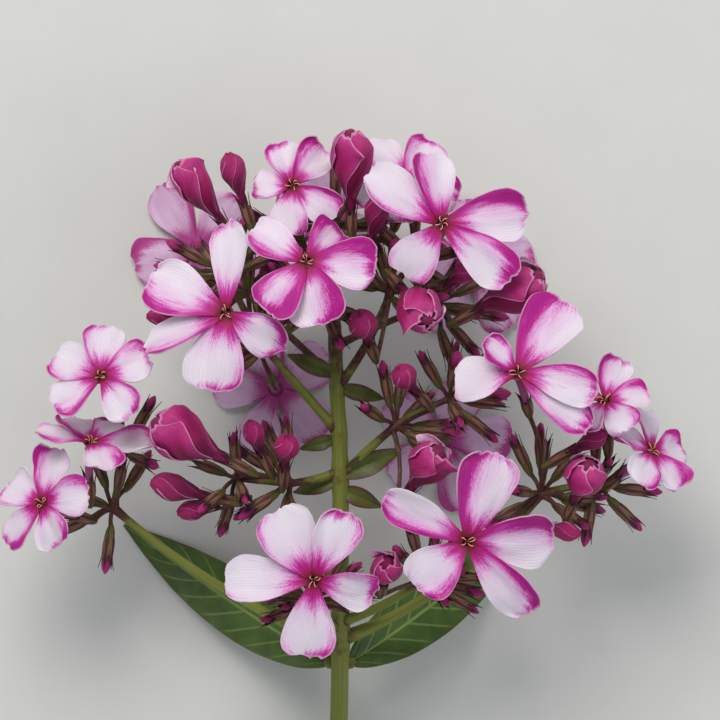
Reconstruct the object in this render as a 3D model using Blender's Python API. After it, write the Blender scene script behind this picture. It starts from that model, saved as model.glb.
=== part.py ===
"""A cut flowering stem of garden phlox, white with magenta, lying on a surface.

The head is a panicle: pairs of branches leave the main stem, and each ends in a cyme of blooms and buds.
Every bloom is five petals on a thin corolla tube that stands in a calyx with five awns.
X is to the right of the head, Y along the stem towards its top, Z up from the surface.
Every length below is in millimetres and every angle in degrees, unless its name says otherwise.
"""

import math
from collections import namedtuple

import bmesh
import bpy
from mathutils import Matrix, Vector

MM = 0.001

# Petals and tubes
PETAL_THICKNESS = 0.62
THROAT_RADIUS = 0.95
PETAL_PITCH = 9.0
TIP_ROUNDING = 0.22
EDGE_WAVE = 0.45
TUBE_LENGTH = 12.5
TUBE_MOUTH_RADIUS = 1.9
TUBE_RADIUS = 1.05
TUBE_FOOT_RADIUS = 0.85
TUBE_SIDES = 5

# Calyces
CALYX_LENGTH = 6.5
CALYX_RADIUS = 1.55
CALYX_FOOT_RADIUS = 0.75
AWN_LENGTH = 3.0
SEAT_GAP = 0.3

# What lies lower than this is pressed flat on the surface
PRESSED_BELOW = 0.22

# Stem and stalks
STEM_SIDES = 8
BRANCH_SIDES = 5
STALK_SIDES = 5
PEDICEL_RADIUS = 0.6
KNUCKLE_RADIUS = 1.15

# Leaves and bracts
LEAF_THICKNESS = 0.9
BRACT_THICKNESS = 0.7

# Blooms below this height are pressed on the surface, and their petals need few faces
HEAD_HEIGHT = 30.0

# The shortest edge that a union keeps
SLIVER = 0.1


Petal = namedtuple("Petal", "angle length width rise bend twist left right point",
                   defaults=(8, -22, 0, 0.35, 0.35, 0.0))
Bloom = namedtuple("Bloom", "name centre azimuth tilt cyme petals tube", defaults=(TUBE_LENGTH,))
Bud = namedtuple("Bud", "name middle azimuth rise length width neck cyme")


def regular_petals(turn, length, width, rise=8, bend=-22):
    """Five petals of a bloom that hides most of itself, a little uneven."""
    sway = (0.0, 0.06, -0.05, 0.03, -0.07)
    return tuple(
        Petal(turn + 72 * number, length * (1 + sway[number]), width * (1 - sway[number]), rise, bend)
        for number in range(5)
    )


# The main stem from its cut end to its top: x, y, z, radius. Its foot lies flat on the surface.
STEM_LINE = (
    (0.0, -122.0, 1.85, 2.0),
    (0.0, -104.0, 1.85, 2.0),
    (0.4, -88.0, 6.5, 1.95),
    (0.8, -70.0, 16.0, 1.9),
    (1.0, -50.0, 24.0, 1.8),
    (1.0, -25.0, 29.0, 1.7),
    (0.2, -4.0, 30.5, 1.45),
    (-0.4, 14.0, 31.0, 1.15),
    (0.0, 29.0, 32.0, 1.15),
)

# Branches: radius at the foot, then the points they pass. The last point is a cyme of the same name.
BRANCHES = {
    "left_upper": (1.15, (0.6, -15.5, 29.8), (-7.0, -7.0, 33.0), (-15.0, 2.5, 36.5)),
    "left_high": (0.9, (-15.0, 2.5, 36.5), (-20.0, 11.0, 37.5), (-23.0, 18.0, 38.5)),
    "left_back": (0.9, (0.1, -4.0, 30.2), (-9.0, 4.0, 26.5), (-19.0, 14.0, 24.0)),
    "right_upper": (1.05, (0.3, -6.0, 30.2), (7.5, 3.0, 34.0), (11.5, 14.0, 37.5)),
    "right_high": (0.85, (11.5, 14.0, 37.5), (14.0, 18.5, 38.0), (17.0, 21.0, 38.0)),
    "right_back": (0.9, (0.0, 3.0, 30.6), (10.0, 8.0, 27.0), (21.0, 12.0, 25.0)),
    "top_left": (0.85, (-0.4, 14.0, 31.0), (-4.0, 20.0, 33.5), (-7.0, 25.0, 35.0)),
    "top_right": (0.85, (-0.2, 18.0, 31.2), (4.5, 22.0, 32.0), (8.5, 26.0, 32.5)),
    "centre_front": (0.85, (-0.3, 7.0, 30.8), (-2.5, 10.0, 35.0), (-3.5, 13.0, 39.5)),
    "right_near": (1.15, (1.0, -25.5, 28.8), (6.0, -20.0, 31.0), (12.5, -14.5, 32.5)),
    "right_mid": (0.95, (12.5, -14.5, 32.5), (18.0, -11.0, 33.5), (24.0, -8.5, 34.0)),
    "left_near": (1.1, (1.0, -24.0, 29.0), (-4.0, -26.0, 31.0), (-9.5, -26.5, 32.5)),
    "left_mid": (0.9, (-9.5, -26.5, 32.5), (-16.0, -26.0, 33.5), (-21.0, -25.5, 34.0)),
    "right_low": (1.25, (0.9, -61.0, 19.8), (20.0, -54.0, 24.0), (36.0, -40.0, 29.0), (44.0, -29.0, 32.0)),
    "right_far": (0.95, (44.0, -29.0, 32.0), (50.0, -27.0, 32.0), (56.0, -27.0, 31.0)),
    "left_low": (1.2, (0.9, -63.0, 19.0), (-18.0, -55.0, 22.0), (-36.0, -43.0, 26.0), (-48.0, -32.0, 28.0)),
    "left_far": (0.9, (-48.0, -32.0, 28.0), (-47.0, -27.0, 28.5), (-46.0, -20.0, 29.0)),
    "front_right": (1.1, (1.0, -57.0, 21.5), (10.0, -54.0, 30.0), (19.0, -47.0, 35.0)),
    "front_left": (1.0, (0.9, -58.5, 20.9), (-3.0, -57.0, 28.0), (-4.5, -52.0, 33.5)),
}

BLOOMS = (
    Bloom("bloom_left", (-22.9, 9.9, 58.0), 150, 12, "left_upper", (
        Petal(155, 18.1, 12.6, 6, -14, 10),
        Petal(85, 19.3, 8.2, 6, -18, -28, 0.5, 0.5, 0.05),
        Petal(-30, 14.0, 9.5, -4, -30, 18, 0.4, 0.7, 0.12),
        Petal(-100, 16.6, 14.2, 4, -16, -6),
        Petal(203, 18.7, 8.4, 4, -12, 20, 0.7, 0.3),
    )),
    Bloom("bloom_centre", (-5.9, 20.6, 62.0), 95, 14, "centre_front", (
        Petal(150, 13.2, 9.8, 10, -20, 8),
        Petal(55, 13.5, 9.5, -8, -50, 10),
        Petal(-5, 14.6, 11.5, 8, -22, 8, 0.35, 0.5),
        Petal(-75, 13.8, 12.8, 6, -22, 6),
        Petal(-128, 13.6, 11.4, 6, -24, 10, 0.5, 0.35),
    )),
    Bloom("bloom_upper_right", (22.3, 28.6, 58.0), 50, 16, "right_high", (
        Petal(150, 18.4, 11.4, 10, -18, 6, 0.35, 0.5),
        Petal(100, 15.4, 10.2, 12, -24, 8),
        Petal(10, 18.2, 11.8, 10, -20, 10, 0.6, 0.3, 0.08),
        Petal(-38, 19.0, 10.2, 4, -22, 10),
        Petal(-125, 14.0, 10.6, -14, -40, 0),
    )),
    Bloom("bloom_top_right", (14.7, 37.6, 41.5), 85, 26, "top_right", (
        Petal(60, 12.5, 9.4),
        Petal(122, 13.0, 9.2),
        Petal(192, 11.5, 9.0),
        Petal(-92, 9.5, 8.4, 10, -20),
        Petal(-18, 12.0, 9.2),
    )),
    Bloom("bloom_top_left", (-9.0, 37.0, 48.0), 110, 18, "top_left", (
        Petal(50, 10.6, 8.6, 8, -20, 14),
        Petal(108, 10.0, 8.0, 14, -24, 10),
        Petal(180, 8.6, 8.0),
        Petal(-98, 11.0, 8.6, 8, -20, -10),
        Petal(-38, 11.5, 8.2, 6, -20, 12),
    )),
    Bloom("bloom_right", (38.4, -2.7, 55.0), 112, 26, "right_low", (
        Petal(57, 18.8, 13.0, 12, -18, 8),
        Petal(183, 13.6, 12.0, 4, -20, 4),
        Petal(-15, 17.2, 9.0, 2, -18, 14, 0.5, 0.5),
        Petal(-40, 19.2, 8.4, -10, -18, -10, 0.9, 0.6),
        Petal(138, 10.0, 7.6, 34, -10, 24, 0.9, 0.9),
    )),
    Bloom("bloom_lower_right", (27.7, -38.0, 58.0), -60, 8, "front_right", (
        Petal(75, 19.5, 13.4, 8, -18, 4),
        Petal(2, 18.4, 13.0, 6, -16, 10, 0.5, 0.3),
        Petal(-50, 21.0, 9.8, 2, -18, 12),
        Petal(222, 14.4, 12.0, 6, -18, -6),
        Petal(150, 20.0, 8.8, 6, -16, -24, 0.4, 0.7),
    )),
    Bloom("bloom_lower_left", (-4.4, -46.2, 55.0), -110, 8, "front_left", (
        Petal(120, 17.0, 12.6, 8, -18, 4),
        Petal(65, 16.2, 10.0, 8, -18, -8),
        Petal(178, 18.8, 10.4, 4, -16, 10),
        Petal(-15, 13.4, 9.6, 4, -20, 8),
        Petal(-95, 17.0, 11.6, 4, -16, 0),
    )),
    Bloom("bloom_far_left", (-49.6, -3.4, 48.0), 120, 22, "left_far", (
        Petal(152, 11.8, 9.6),
        Petal(86, 11.6, 9.4),
        Petal(18, 11.2, 9.4),
        Petal(-54, 11.4, 9.0),
        Petal(212, 12.0, 9.2),
    )),
    Bloom("bloom_far_left_side", (-52.0, -17.5, 42.0), 82, 62, "left_low", (
        Petal(2, 13.0, 9.4, 12, -16),
        Petal(178, 12.0, 9.4, 12, -16),
        Petal(-68, 11.0, 9.0, 10, -26),
        Petal(60, 11.0, 8.6, 10, -20),
        Petal(122, 11.0, 8.6, 10, -20),
    ), 10.0),
    Bloom("bloom_low_far_left", (-62.5, -30.5, 42.0), 150, 34, "left_low", regular_petals(4, 11.6, 9.2)),
    Bloom("bloom_far_right", (57.2, -8.6, 46.0), 100, 44, "right_far", (
        Petal(72, 10.5, 8.4, 26, -10, 30, 0.8, 0.5),
        Petal(150, 9.5, 7.4, 12, -14, 10),
        Petal(8, 9.6, 8.0, 8, -22, 8),
        Petal(-60, 9.0, 8.0, 0, -24, 0),
        Petal(-128, 9.0, 8.0, 4, -20, 0),
    ), 11.0),
    Bloom("bloom_far_right_side", (67.4, -19.4, 42.0), 42, 52, "right_far", regular_petals(30, 10.8, 8.8, 10, -26),
          11.0),
    Bloom("bloom_back_left", (-31.0, 25.0, 1.6), 90, 180, "left_back", regular_petals(20, 15.4, 10.6, -2, 0)),
    Bloom("bloom_back_right", (30.0, 20.0, 1.6), 90, 180, "right_back", regular_petals(54, 15.4, 10.6, -2, 0)),
    Bloom("bloom_back_centre", (-13.5, -6.5, 1.6), 90, 180, "left_back", regular_petals(40, 15.0, 10.4, -2, 0)),
    Bloom("bloom_back_low", (24.0, -18.0, 1.6), 90, 180, "right_mid", regular_petals(0, 15.0, 10.4, -2, 0)),
    Bloom("bloom_back_top", (-1.0, 33.0, 9.0), 80, 152, "top_left", regular_petals(34, 13.0, 9.4, 0, -10), 10.0),
)

# Buds about to open, whose petals are still rolled round each other
ROLLED_BUDS = (
    Bud("rolled_bud_1", (-29.6, 36.6, 44.0), 128, 14, 14.0, 7.6, 3.0, "left_high"),
    Bud("rolled_bud_2", (3.4, 41.4, 51.0), 90, 26, 15.5, 8.8, 3.6, "top_right"),
    Bud("rolled_bud_3", (17.4, 11.1, 54.0), -50, 48, 11.5, 9.6, 3.0, "right_upper"),
    Bud("rolled_bud_4", (37.8, 14.6, 46.0), 28, 24, 15.0, 10.6, 3.0, "right_back"),
    Bud("rolled_bud_5", (-32.2, -16.4, 45.0), 152, 16, 15.5, 11.0, 4.0, "left_mid"),
    Bud("rolled_bud_6", (52.6, -25.0, 49.0), 70, 46, 10.5, 8.8, 3.0, "right_low"),
    Bud("rolled_bud_7", (19.5, -22.3, 47.0), 56, 30, 11.0, 9.2, 3.0, "right_near"),
    Bud("rolled_bud_8", (10.7, -44.5, 47.0), 80, 62, 8.0, 6.6, 3.0, "front_right"),
)

CLOSED_BUDS = (
    Bud("closed_bud_1", (-21.4, 39.6, 50.0), 108, 20, 9.5, 5.4, 3.0, "top_left"),
    Bud("closed_bud_2", (8.8, 31.2, 48.5), 80, 30, 10.5, 5.2, 3.0, "top_right"),
    Bud("closed_bud_3", (-36.8, 9.2, 42.0), 178, 12, 7.4, 3.8, 2.0, "left_high"),
    Bud("closed_bud_4", (5.9, 7.4, 50.8), 110, 52, 8.0, 6.2, 3.0, "right_upper"),
    Bud("closed_bud_5", (14.7, -3.6, 47.0), 130, 44, 7.0, 5.4, 3.0, "right_near"),
    Bud("closed_bud_6", (27.4, 18.8, 47.0), 40, 24, 7.6, 4.8, 2.0, "right_high"),
    Bud("closed_bud_7", (-34.6, -27.3, 38.0), 166, 10, 11.0, 6.0, 3.2, "left_mid"),
    Bud("closed_bud_8", (-30.4, -32.2, 34.0), 192, 6, 8.0, 4.4, 2.0, "left_mid"),
    Bud("closed_bud_9", (-17.2, -15.8, 46.0), 112, 36, 8.0, 4.4, 2.0, "left_mid"),
    Bud("closed_bud_10", (-10.4, -18.6, 46.0), 84, 44, 7.4, 5.4, 3.0, "left_near"),
    Bud("closed_bud_11", (54.5, -17.0, 44.5), 30, 20, 7.8, 4.2, 2.0, "right_low"),
    Bud("closed_bud_12", (48.9, -36.5, 40.0), -8, 14, 7.6, 4.0, 2.0, "right_low"),
)

# Bracts at the forks: foot, azimuth, rise, length, width
BRACTS = (
    ((-0.2, -3.0, 30.8), 158, 26, 11.0, 4.0),
    ((0.8, -6.0, 30.7), -14, 20, 10.0, 3.6),
    ((0.0, -17.0, 30.2), 196, 24, 8.0, 3.2),
    ((1.4, -25.0, 29.6), 24, 24, 14.0, 5.0),
    ((1.4, -28.0, 29.0), -24, 10, 9.5, 4.2),
    ((0.4, -26.0, 29.2), 196, 8, 10.0, 3.6),
)

Leaf = namedtuple("Leaf", "name foot azimuth length width drop")
LEAVES = (
    Leaf("leaf_low_left", (-2.75, -89.0, 6.2), 200, 78.0, 21.0, 30),
    Leaf("leaf_low_right", (3.55, -89.0, 6.2), -24, 82.0, 22.0, 30),
    Leaf("leaf_high_left", (-1.7, -66.0, 16.6), 152, 54.0, 14.0, 34),
    Leaf("leaf_high_right", (3.4, -66.0, 16.6), 32, 52.0, 14.0, 34),
)

# Small buds grown together with the stem: cyme, azimuth, rise, stalk length, bud size
SMALL_BUDS = (
    ("left_high", 172, 4, 6.0, 3.4),
    ("left_high", 150, 16, 5.0, 4.0),
    ("left_upper", 200, 14, 6.0, 3.4),
    ("left_back", 176, -4, 8.0, 4.0),
    ("left_back", 136, 2, 6.0, 4.4),
    ("right_upper", 84, 40, 5.0, 3.6),
    ("right_high", 14, 36, 4.0, 3.4),
    ("right_back", -10, 4, 6.0, 4.2),
    ("right_back", -48, -4, 5.0, 3.8),
    ("top_left", 150, 20, 5.0, 3.6),
    ("top_right", -6, 0, 5.0, 3.8),
    ("top", 90, 10, 5.0, 4.0),
    ("centre_front", 210, 30, 3.0, 3.4),
    ("right_mid", 78, 46, 4.0, 4.4),
    ("right_mid", 6, 24, 3.5, 4.6),
    ("right_mid", -40, 6, 4.0, 3.6),
    ("left_near", 214, 18, 3.5, 4.0),
    ("left_mid", 252, -24, 4.0, 4.0),
    ("right_low", 210, 14, 4.0, 3.6),
    ("right_far", -6, 2, 4.0, 3.8),
    ("right_far", -44, -8, 4.0, 3.6),
    ("left_low", 262, -4, 4.0, 3.8),
    ("left_low", 204, -10, 5.0, 4.0),
    ("left_far", 60, 8, 4.0, 3.6),
    ("front_right", 132, 40, 3.0, 3.4),
    ("front_left", 160, 6, 4.0, 3.4),
)


def direction(azimuth, rise):
    """Unit vector of an azimuth in the surface's plane and a rise above it."""
    around = math.radians(azimuth)
    up = math.radians(rise)
    return Vector((math.cos(around) * math.cos(up), math.sin(around) * math.cos(up), math.sin(up)))


def mixed(first, second, share):
    return (first * (1 - share) + second * share).normalized()


def bezier(points, steps):
    """Points of the Bezier curve through these control points."""
    line = []
    for step in range(steps + 1):
        level = [Vector(point) for point in points]
        share = step / steps
        while len(level) > 1:
            level = [a.lerp(b, share) for a, b in zip(level, level[1:])]
        line.append(level[0])
    return line


def remove_scene_objects():
    for item in list(bpy.data.objects):
        bpy.data.objects.remove(item, do_unlink=True)


def plain_material(name, colour, roughness):
    material = bpy.data.materials.new(name)
    material.use_nodes = True
    shader = material.node_tree.nodes["Principled BSDF"]
    shader.inputs["Base Color"].default_value = (*colour, 1.0)
    shader.inputs["Roughness"].default_value = roughness
    shader.inputs["Metallic"].default_value = 0.0
    return material


def face_outwards(shape):
    bmesh.ops.recalc_face_normals(shape, faces=shape.faces[:])
    if shape.calc_volume(signed=True) < 0:
        bmesh.ops.reverse_faces(shape, faces=shape.faces[:])


def mesh_object(name, mesh_maker, *values):
    """An object whose mesh a maker function builds in millimetres."""
    shape = bmesh.new()
    mesh_maker(shape, *values)
    face_outwards(shape)
    bmesh.ops.scale(shape, vec=(MM, MM, MM), verts=shape.verts[:])
    mesh = bpy.data.meshes.new(name)
    shape.to_mesh(mesh)
    shape.free()
    made = bpy.data.objects.new(name, mesh)
    bpy.context.scene.collection.objects.link(made)
    return made


def bodies(shape):
    """The separate bodies of a mesh, as lists of faces that share edges, the largest first."""
    waiting = set(shape.faces)
    found = []
    while waiting:
        body = [waiting.pop()]
        for face in body:
            near = {other for edge in face.edges for other in edge.link_faces} & waiting
            waiting -= near
            body.extend(near)
        found.append(body)
    return sorted(found, key=len, reverse=True)


def tidied(mesh):
    """Drops the scraps that a union leaves, and its slivers where the shape stays closed without them."""
    shape = bmesh.new()
    shape.from_mesh(mesh)
    for scrap in bodies(shape)[1:]:
        bmesh.ops.delete(shape, geom=scrap, context="FACES")
    shape.to_mesh(mesh)
    bmesh.ops.remove_doubles(shape, verts=shape.verts[:], dist=SLIVER * MM)
    closed = all(edge.is_manifold for edge in shape.edges) and all(vert.is_manifold for vert in shape.verts)
    if closed and len(bodies(shape)) == 1:
        shape.to_mesh(mesh)
    shape.free()
    return mesh


def joined(body, pieces, material, solver="MANIFOLD"):
    """Unites the pieces with the body in one Boolean, and removes them."""
    if pieces:
        group = bpy.data.collections.new(body.name + "_pieces")
        bpy.context.scene.collection.children.link(group)
        for piece in pieces:
            group.objects.link(piece)
        union = body.modifiers.new("Union", "BOOLEAN")
        union.operation = "UNION"
        union.solver = solver
        union.operand_type = "COLLECTION"
        union.collection = group
        bpy.context.view_layer.update()
        evaluated = body.evaluated_get(bpy.context.evaluated_depsgraph_get())
        body.data = tidied(bpy.data.meshes.new_from_object(evaluated))
        body.modifiers.clear()
        for piece in pieces:
            bpy.data.objects.remove(piece, do_unlink=True)
        bpy.data.collections.remove(group)
    body.data.materials.clear()
    body.data.materials.append(material)
    return body


def press_on_surface(shape):
    """Flattens what comes nearly as low as the surface onto it."""
    for vert in shape.verts:
        if vert.co.z < PRESSED_BELOW:
            vert.co.z = 0.0


def ring_matrix(centre, along, radius, turn=0.0):
    """Places a unit ring at a centre, square to a direction, with one corner line kept level."""
    reference = Vector((0, 0, 1)) if abs(along.z) < 0.9 else Vector((0, 1, 0))
    side = along.cross(reference).normalized()
    rise = side.cross(along).normalized()
    place = Matrix((side, rise, along)).transposed().to_4x4()
    place.translation = centre
    return place @ Matrix.Rotation(math.radians(turn), 4, "Z") @ Matrix.Diagonal((radius, radius, 1.0, 1.0))


def swept(shape, line, radii, sides, turn=0.0):
    """A closed stalk along a line of points, with a radius at each."""
    line = [Vector(point) for point in line]
    places = []
    for number, point in enumerate(line):
        before = line[max(number - 1, 0)]
        after = line[min(number + 1, len(line) - 1)]
        places.append(ring_matrix(point, (after - before).normalized(), radii[number], turn))
    made = bmesh.ops.create_circle(shape, cap_ends=False, segments=sides, radius=1.0)
    ring = made["verts"]
    edges = list({edge for vert in ring for edge in vert.link_edges})
    first_edges = edges
    bmesh.ops.transform(shape, matrix=places[0], verts=ring)
    for before, after in zip(places, places[1:]):
        grown = bmesh.ops.extrude_edge_only(shape, edges=edges)["geom"]
        ring = [item for item in grown if isinstance(item, bmesh.types.BMVert)]
        edges = [item for item in grown if isinstance(item, bmesh.types.BMEdge)]
        bmesh.ops.transform(shape, matrix=after @ before.inverted(), verts=ring)
    bmesh.ops.holes_fill(shape, edges=first_edges + edges)


def blade(shape, surface, along, across, thickness):
    """A thin blade from a surface function of u (0 to 1, foot to tip) and v (-1 to 1, across)."""
    made = bmesh.ops.create_grid(shape, x_segments=across, y_segments=along, size=1.0)
    verts = made["verts"]
    faces = list({face for vert in verts for face in vert.link_faces})
    faces = bmesh.ops.triangulate(shape, faces=faces)["faces"]
    for vert in verts:
        vert.co = surface(0.5 * (vert.co.y + 1), vert.co.x)
    for face in faces:
        face.normal_update()
    for vert in verts:
        vert.normal_update()
    shift = {vert: vert.normal * (thickness / 2) for vert in verts}
    for vert in verts:
        vert.co += shift[vert]
    bmesh.ops.solidify(shape, geom=faces, thickness=thickness)


def facing_axes(azimuth, tilt):
    """A bloom's own axes: across its face, up its face, and out of it."""
    out = direction(azimuth, 90 - tilt)
    across = Vector((1, 0, 0)) - out * out.x
    across.normalize()
    return across, out.cross(across), out


def petal_outline(u):
    """Half width of a petal along its length, as a share of the widest."""
    claw = 0.11
    swell = min(u / 0.62, 1.0)
    half = claw + (1 - claw) * math.sin(0.5 * math.pi * swell ** 1.1)
    if u > 0.62:
        half *= 1 - 0.26 * ((u - 0.62) / 0.38) ** 2
    return half


def petal_surface(bloom, petal, number):
    """The middle surface of one petal."""
    across, up, out = facing_axes(bloom.azimuth, bloom.tilt)
    angle = math.radians(petal.angle)
    outward = across * math.cos(angle) + up * math.sin(angle)
    sideways = out.cross(outward)
    centre = Vector(bloom.centre)
    rise = math.radians(petal.rise)
    bend = math.radians(petal.bend)
    phase = 2.4 * number + 0.37 * petal.angle

    def surface(u, v):
        reach = u - TIP_ROUNDING * abs(v) ** 2.3 * u ** 3
        reach += petal.point * u ** 4 * math.exp(-(v / 0.32) ** 2)
        tangent_angle = rise + bend * reach
        if abs(bend) > 0.01:
            run = (math.sin(tangent_angle) - math.sin(rise)) / bend
            lift = (math.cos(rise) - math.cos(tangent_angle)) / bend
        else:
            run = math.cos(rise) * reach
            lift = math.sin(rise) * reach
        length = petal.length - THROAT_RADIUS
        spine = centre + outward * (THROAT_RADIUS + length * run) + out * (length * lift)
        blade_out = out * math.cos(tangent_angle) - outward * math.sin(tangent_angle)
        tangent = outward * math.cos(tangent_angle) + out * math.sin(tangent_angle)
        turn = math.radians(PETAL_PITCH * min(1.0, 2.5 * u) + petal.twist * u)
        side = sideways * math.cos(turn) + blade_out * math.sin(turn)
        crown = tangent.cross(side)
        half = 0.5 * petal.width * petal_outline(u)
        cup = (petal.left if v > 0 else petal.right) * (0.4 + 0.6 * u)
        bow = cup * abs(v)
        width_share = math.sin(bow) / cup * (1 if v > 0 else -1)
        height = half * (1 - math.cos(bow)) / cup
        wave = EDGE_WAVE * math.sin(7.5 * u + phase + (1.3 if v > 0 else 0.0)) * abs(v) ** 3 * u
        point = spine + side * (half * width_share) + crown * (height + wave)
        point.z = max(point.z, PETAL_THICKNESS / 2 + 0.02)
        return point

    return surface


def petal(shape, bloom, number, along, across):
    blade(shape, petal_surface(bloom, bloom.petals[number], number), along, across, PETAL_THICKNESS)
    press_on_surface(shape)


CYMES = {"top": Vector(STEM_LINE[-1][:3])}
CYMES.update({name: Vector(points[-1]) for name, (radius, *points) in BRANCHES.items()})


def bloom_seat(bloom):
    """The middle of the calyx's mouth and the calyx's direction under a bloom."""
    out = facing_axes(bloom.azimuth, bloom.tilt)[2]
    centre = Vector(bloom.centre)
    axis = mixed(out, (centre - CYMES[bloom.cyme]).normalized(), 0.35)
    return centre - mixed(out, axis, 0.5) * bloom.tube, axis


def bloom_tube(shape, bloom):
    out = facing_axes(bloom.azimuth, bloom.tilt)[2]
    centre = Vector(bloom.centre)
    mouth, axis = bloom_seat(bloom)
    foot = mouth + axis * SEAT_GAP
    line = [centre + out * 0.5, centre - out * 2.4]
    line.append((centre - out * 5.5).lerp(foot + axis * 3.0, 0.5))
    line.append(foot)
    radii = (TUBE_MOUTH_RADIUS, TUBE_RADIUS, TUBE_RADIUS, TUBE_FOOT_RADIUS)
    swept(shape, line, radii, TUBE_SIDES)
    press_on_surface(shape)


def make_bloom(bloom, material):
    along, across = (4, 3) if bloom.centre[2] > HEAD_HEIGHT else (3, 2)
    body = mesh_object(bloom.name, bloom_tube, bloom)
    pieces = [
        mesh_object(f"{bloom.name}_petal_{number}", petal, bloom, number, along, across)
        for number in range(len(bloom.petals))
    ]
    return joined(body, pieces, material)


def bud_seat(bud):
    """Where a bud's neck leaves its calyx, and the bud's direction."""
    axis = direction(bud.azimuth, bud.rise)
    return Vector(bud.middle) - axis * (bud.length / 2 + bud.neck), axis


ROLLED_PROFILE = ((0.0, 0.26), (0.16, 0.52), (0.4, 0.96), (0.62, 1.0), (0.82, 0.7), (0.97, 0.22))
CLOSED_PROFILE = ((0.0, 0.34), (0.22, 0.64), (0.5, 1.0), (0.76, 0.82), (0.96, 0.2))


def bud_body(shape, bud, profile, sides, folds, depth, twirl):
    """A bud whose petals are wound round it: a turned form with twisted folds."""
    foot, axis = bud_seat(bud)
    start = foot + axis * SEAT_GAP
    neck_end = foot + axis * bud.neck
    line = [start, neck_end]
    radii = [TUBE_FOOT_RADIUS, 0.5 * bud.width * profile[0][1]]
    for share, width in profile[1:]:
        line.append(neck_end + axis * (bud.length * share))
        radii.append(0.5 * bud.width * width)
    swept(shape, line, radii, sides)
    for vert in shape.verts:
        share = (vert.co - neck_end).dot(axis) / bud.length
        if share <= 0.05:
            continue
        spine = neck_end + axis * (bud.length * share)
        arm = vert.co - spine
        around = math.atan2(arm.dot(axis.orthogonal()), arm.dot(axis.cross(axis.orthogonal())))
        fold = 1 + depth * math.sin(folds * around + math.radians(twirl) * share)
        vert.co = spine + arm * fold


def make_bud(bud, profile, material, sides, folds, depth, twirl):
    body = mesh_object(bud.name, bud_body, bud, profile, sides, folds, depth, twirl)
    return joined(body, [], material)


def flower_stalk(shape, start, mouth, axis, bud_size):
    """A flower stalk and its five-sided calyx, with an awn on each side of the mouth and perhaps a small bud."""
    foot = mouth - axis * CALYX_LENGTH
    line = [start - axis * 0.4, foot]
    line += [foot + axis * 1.6, mouth]
    radii = (PEDICEL_RADIUS, CALYX_FOOT_RADIUS, CALYX_RADIUS, CALYX_RADIUS)
    swept(shape, line, radii, STALK_SIDES)
    face_outwards(shape)
    lid = min(shape.faces, key=lambda face: (face.calc_center_median() - mouth).length)
    rim = bmesh.ops.inset_region(shape, faces=[lid], thickness=0.42, use_even_offset=True)["faces"]
    poked = bmesh.ops.poke(shape, faces=rim)
    for tip in poked["verts"]:
        away = tip.co - mouth
        away -= axis * away.dot(axis)
        tip.co = tip.co + axis * AWN_LENGTH + away.normalized() * 0.5
    rings = ((0.6, 1.0), (1.1, 0.3)) if bud_size else ()
    for height, width in rings:
        grown = bmesh.ops.extrude_discrete_faces(shape, faces=[lid])["faces"][0]
        lid = grown
        for vert in lid.verts:
            away = vert.co - mouth
            away -= axis * away.dot(axis)
            vert.co = mouth + axis * (bud_size * height) + away.normalized() * (0.3 * bud_size * width)


def bract_surface(foot, azimuth, rise, length, width):
    """A narrow pointed blade that arches outward."""
    outward = direction(azimuth, 0)
    sideways = Vector((0, 0, 1)).cross(outward)

    def surface(u, v):
        angle = math.radians(rise) - math.radians(34) * u
        spine = Vector(foot) + outward * (length * u) + Vector((0, 0, 1)) * (length * u * math.sin(angle))
        half = 0.5 * width * max(0.12, math.sin(math.pi * min(0.97, u ** 0.85 * 0.95 + 0.05)) ** 0.8)
        fold = 0.22 * half * abs(v)
        return spine + sideways * (v * half) + Vector((0, 0, fold))

    return surface


def bract(shape, foot, azimuth, rise, length, width):
    blade(shape, bract_surface(foot, azimuth, rise, length, width), 4, 2, BRACT_THICKNESS)


def main_stem(shape):
    """The main stem, swollen a little at its forks."""
    line = [point[:3] for point in STEM_LINE]
    radii = [point[3] for point in STEM_LINE]
    line.append(Vector(line[-1]) + Vector((0.0, 1.0, 0.0)))
    radii.append(0.7)
    swept(shape, line, radii, STEM_SIDES, 180 / STEM_SIDES)
    press_on_surface(shape)


def branch(shape, radius, points):
    """A branch, rooted in what it grows from."""
    line = bezier(points, 2 * (len(points) - 1))
    radii = [radius * (1 - 0.28 * number / (len(line) - 1)) for number in range(len(line))]
    radii[-1] = KNUCKLE_RADIUS
    line.append(line[-1] + (line[-1] - line[-2]).normalized() * 0.9)
    radii.append(0.6 * KNUCKLE_RADIUS)
    swept(shape, line, radii, BRANCH_SIDES)


def make_stem(material):
    body = mesh_object("stem", main_stem)
    pieces = []
    for name, (radius, *points) in BRANCHES.items():
        pieces.append(mesh_object("branch_" + name, branch, radius, points))
    seats = [(bloom_seat(bloom), bloom.cyme) for bloom in BLOOMS]
    seats += [(bud_seat(bud), bud.cyme) for bud in ROLLED_BUDS + CLOSED_BUDS]
    for (mouth, axis), cyme in seats:
        pieces.append(mesh_object("stalk", flower_stalk, CYMES[cyme], mouth, axis, 0))
    for cyme, azimuth, rise, reach, size in SMALL_BUDS:
        axis = direction(azimuth, rise)
        mouth = CYMES[cyme] + axis * (reach + CALYX_LENGTH)
        pieces.append(mesh_object("small_bud", flower_stalk, CYMES[cyme], mouth, axis, size))
    for values in BRACTS:
        pieces.append(mesh_object("bract", bract, *values))
    return joined(body, pieces, material)


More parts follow.
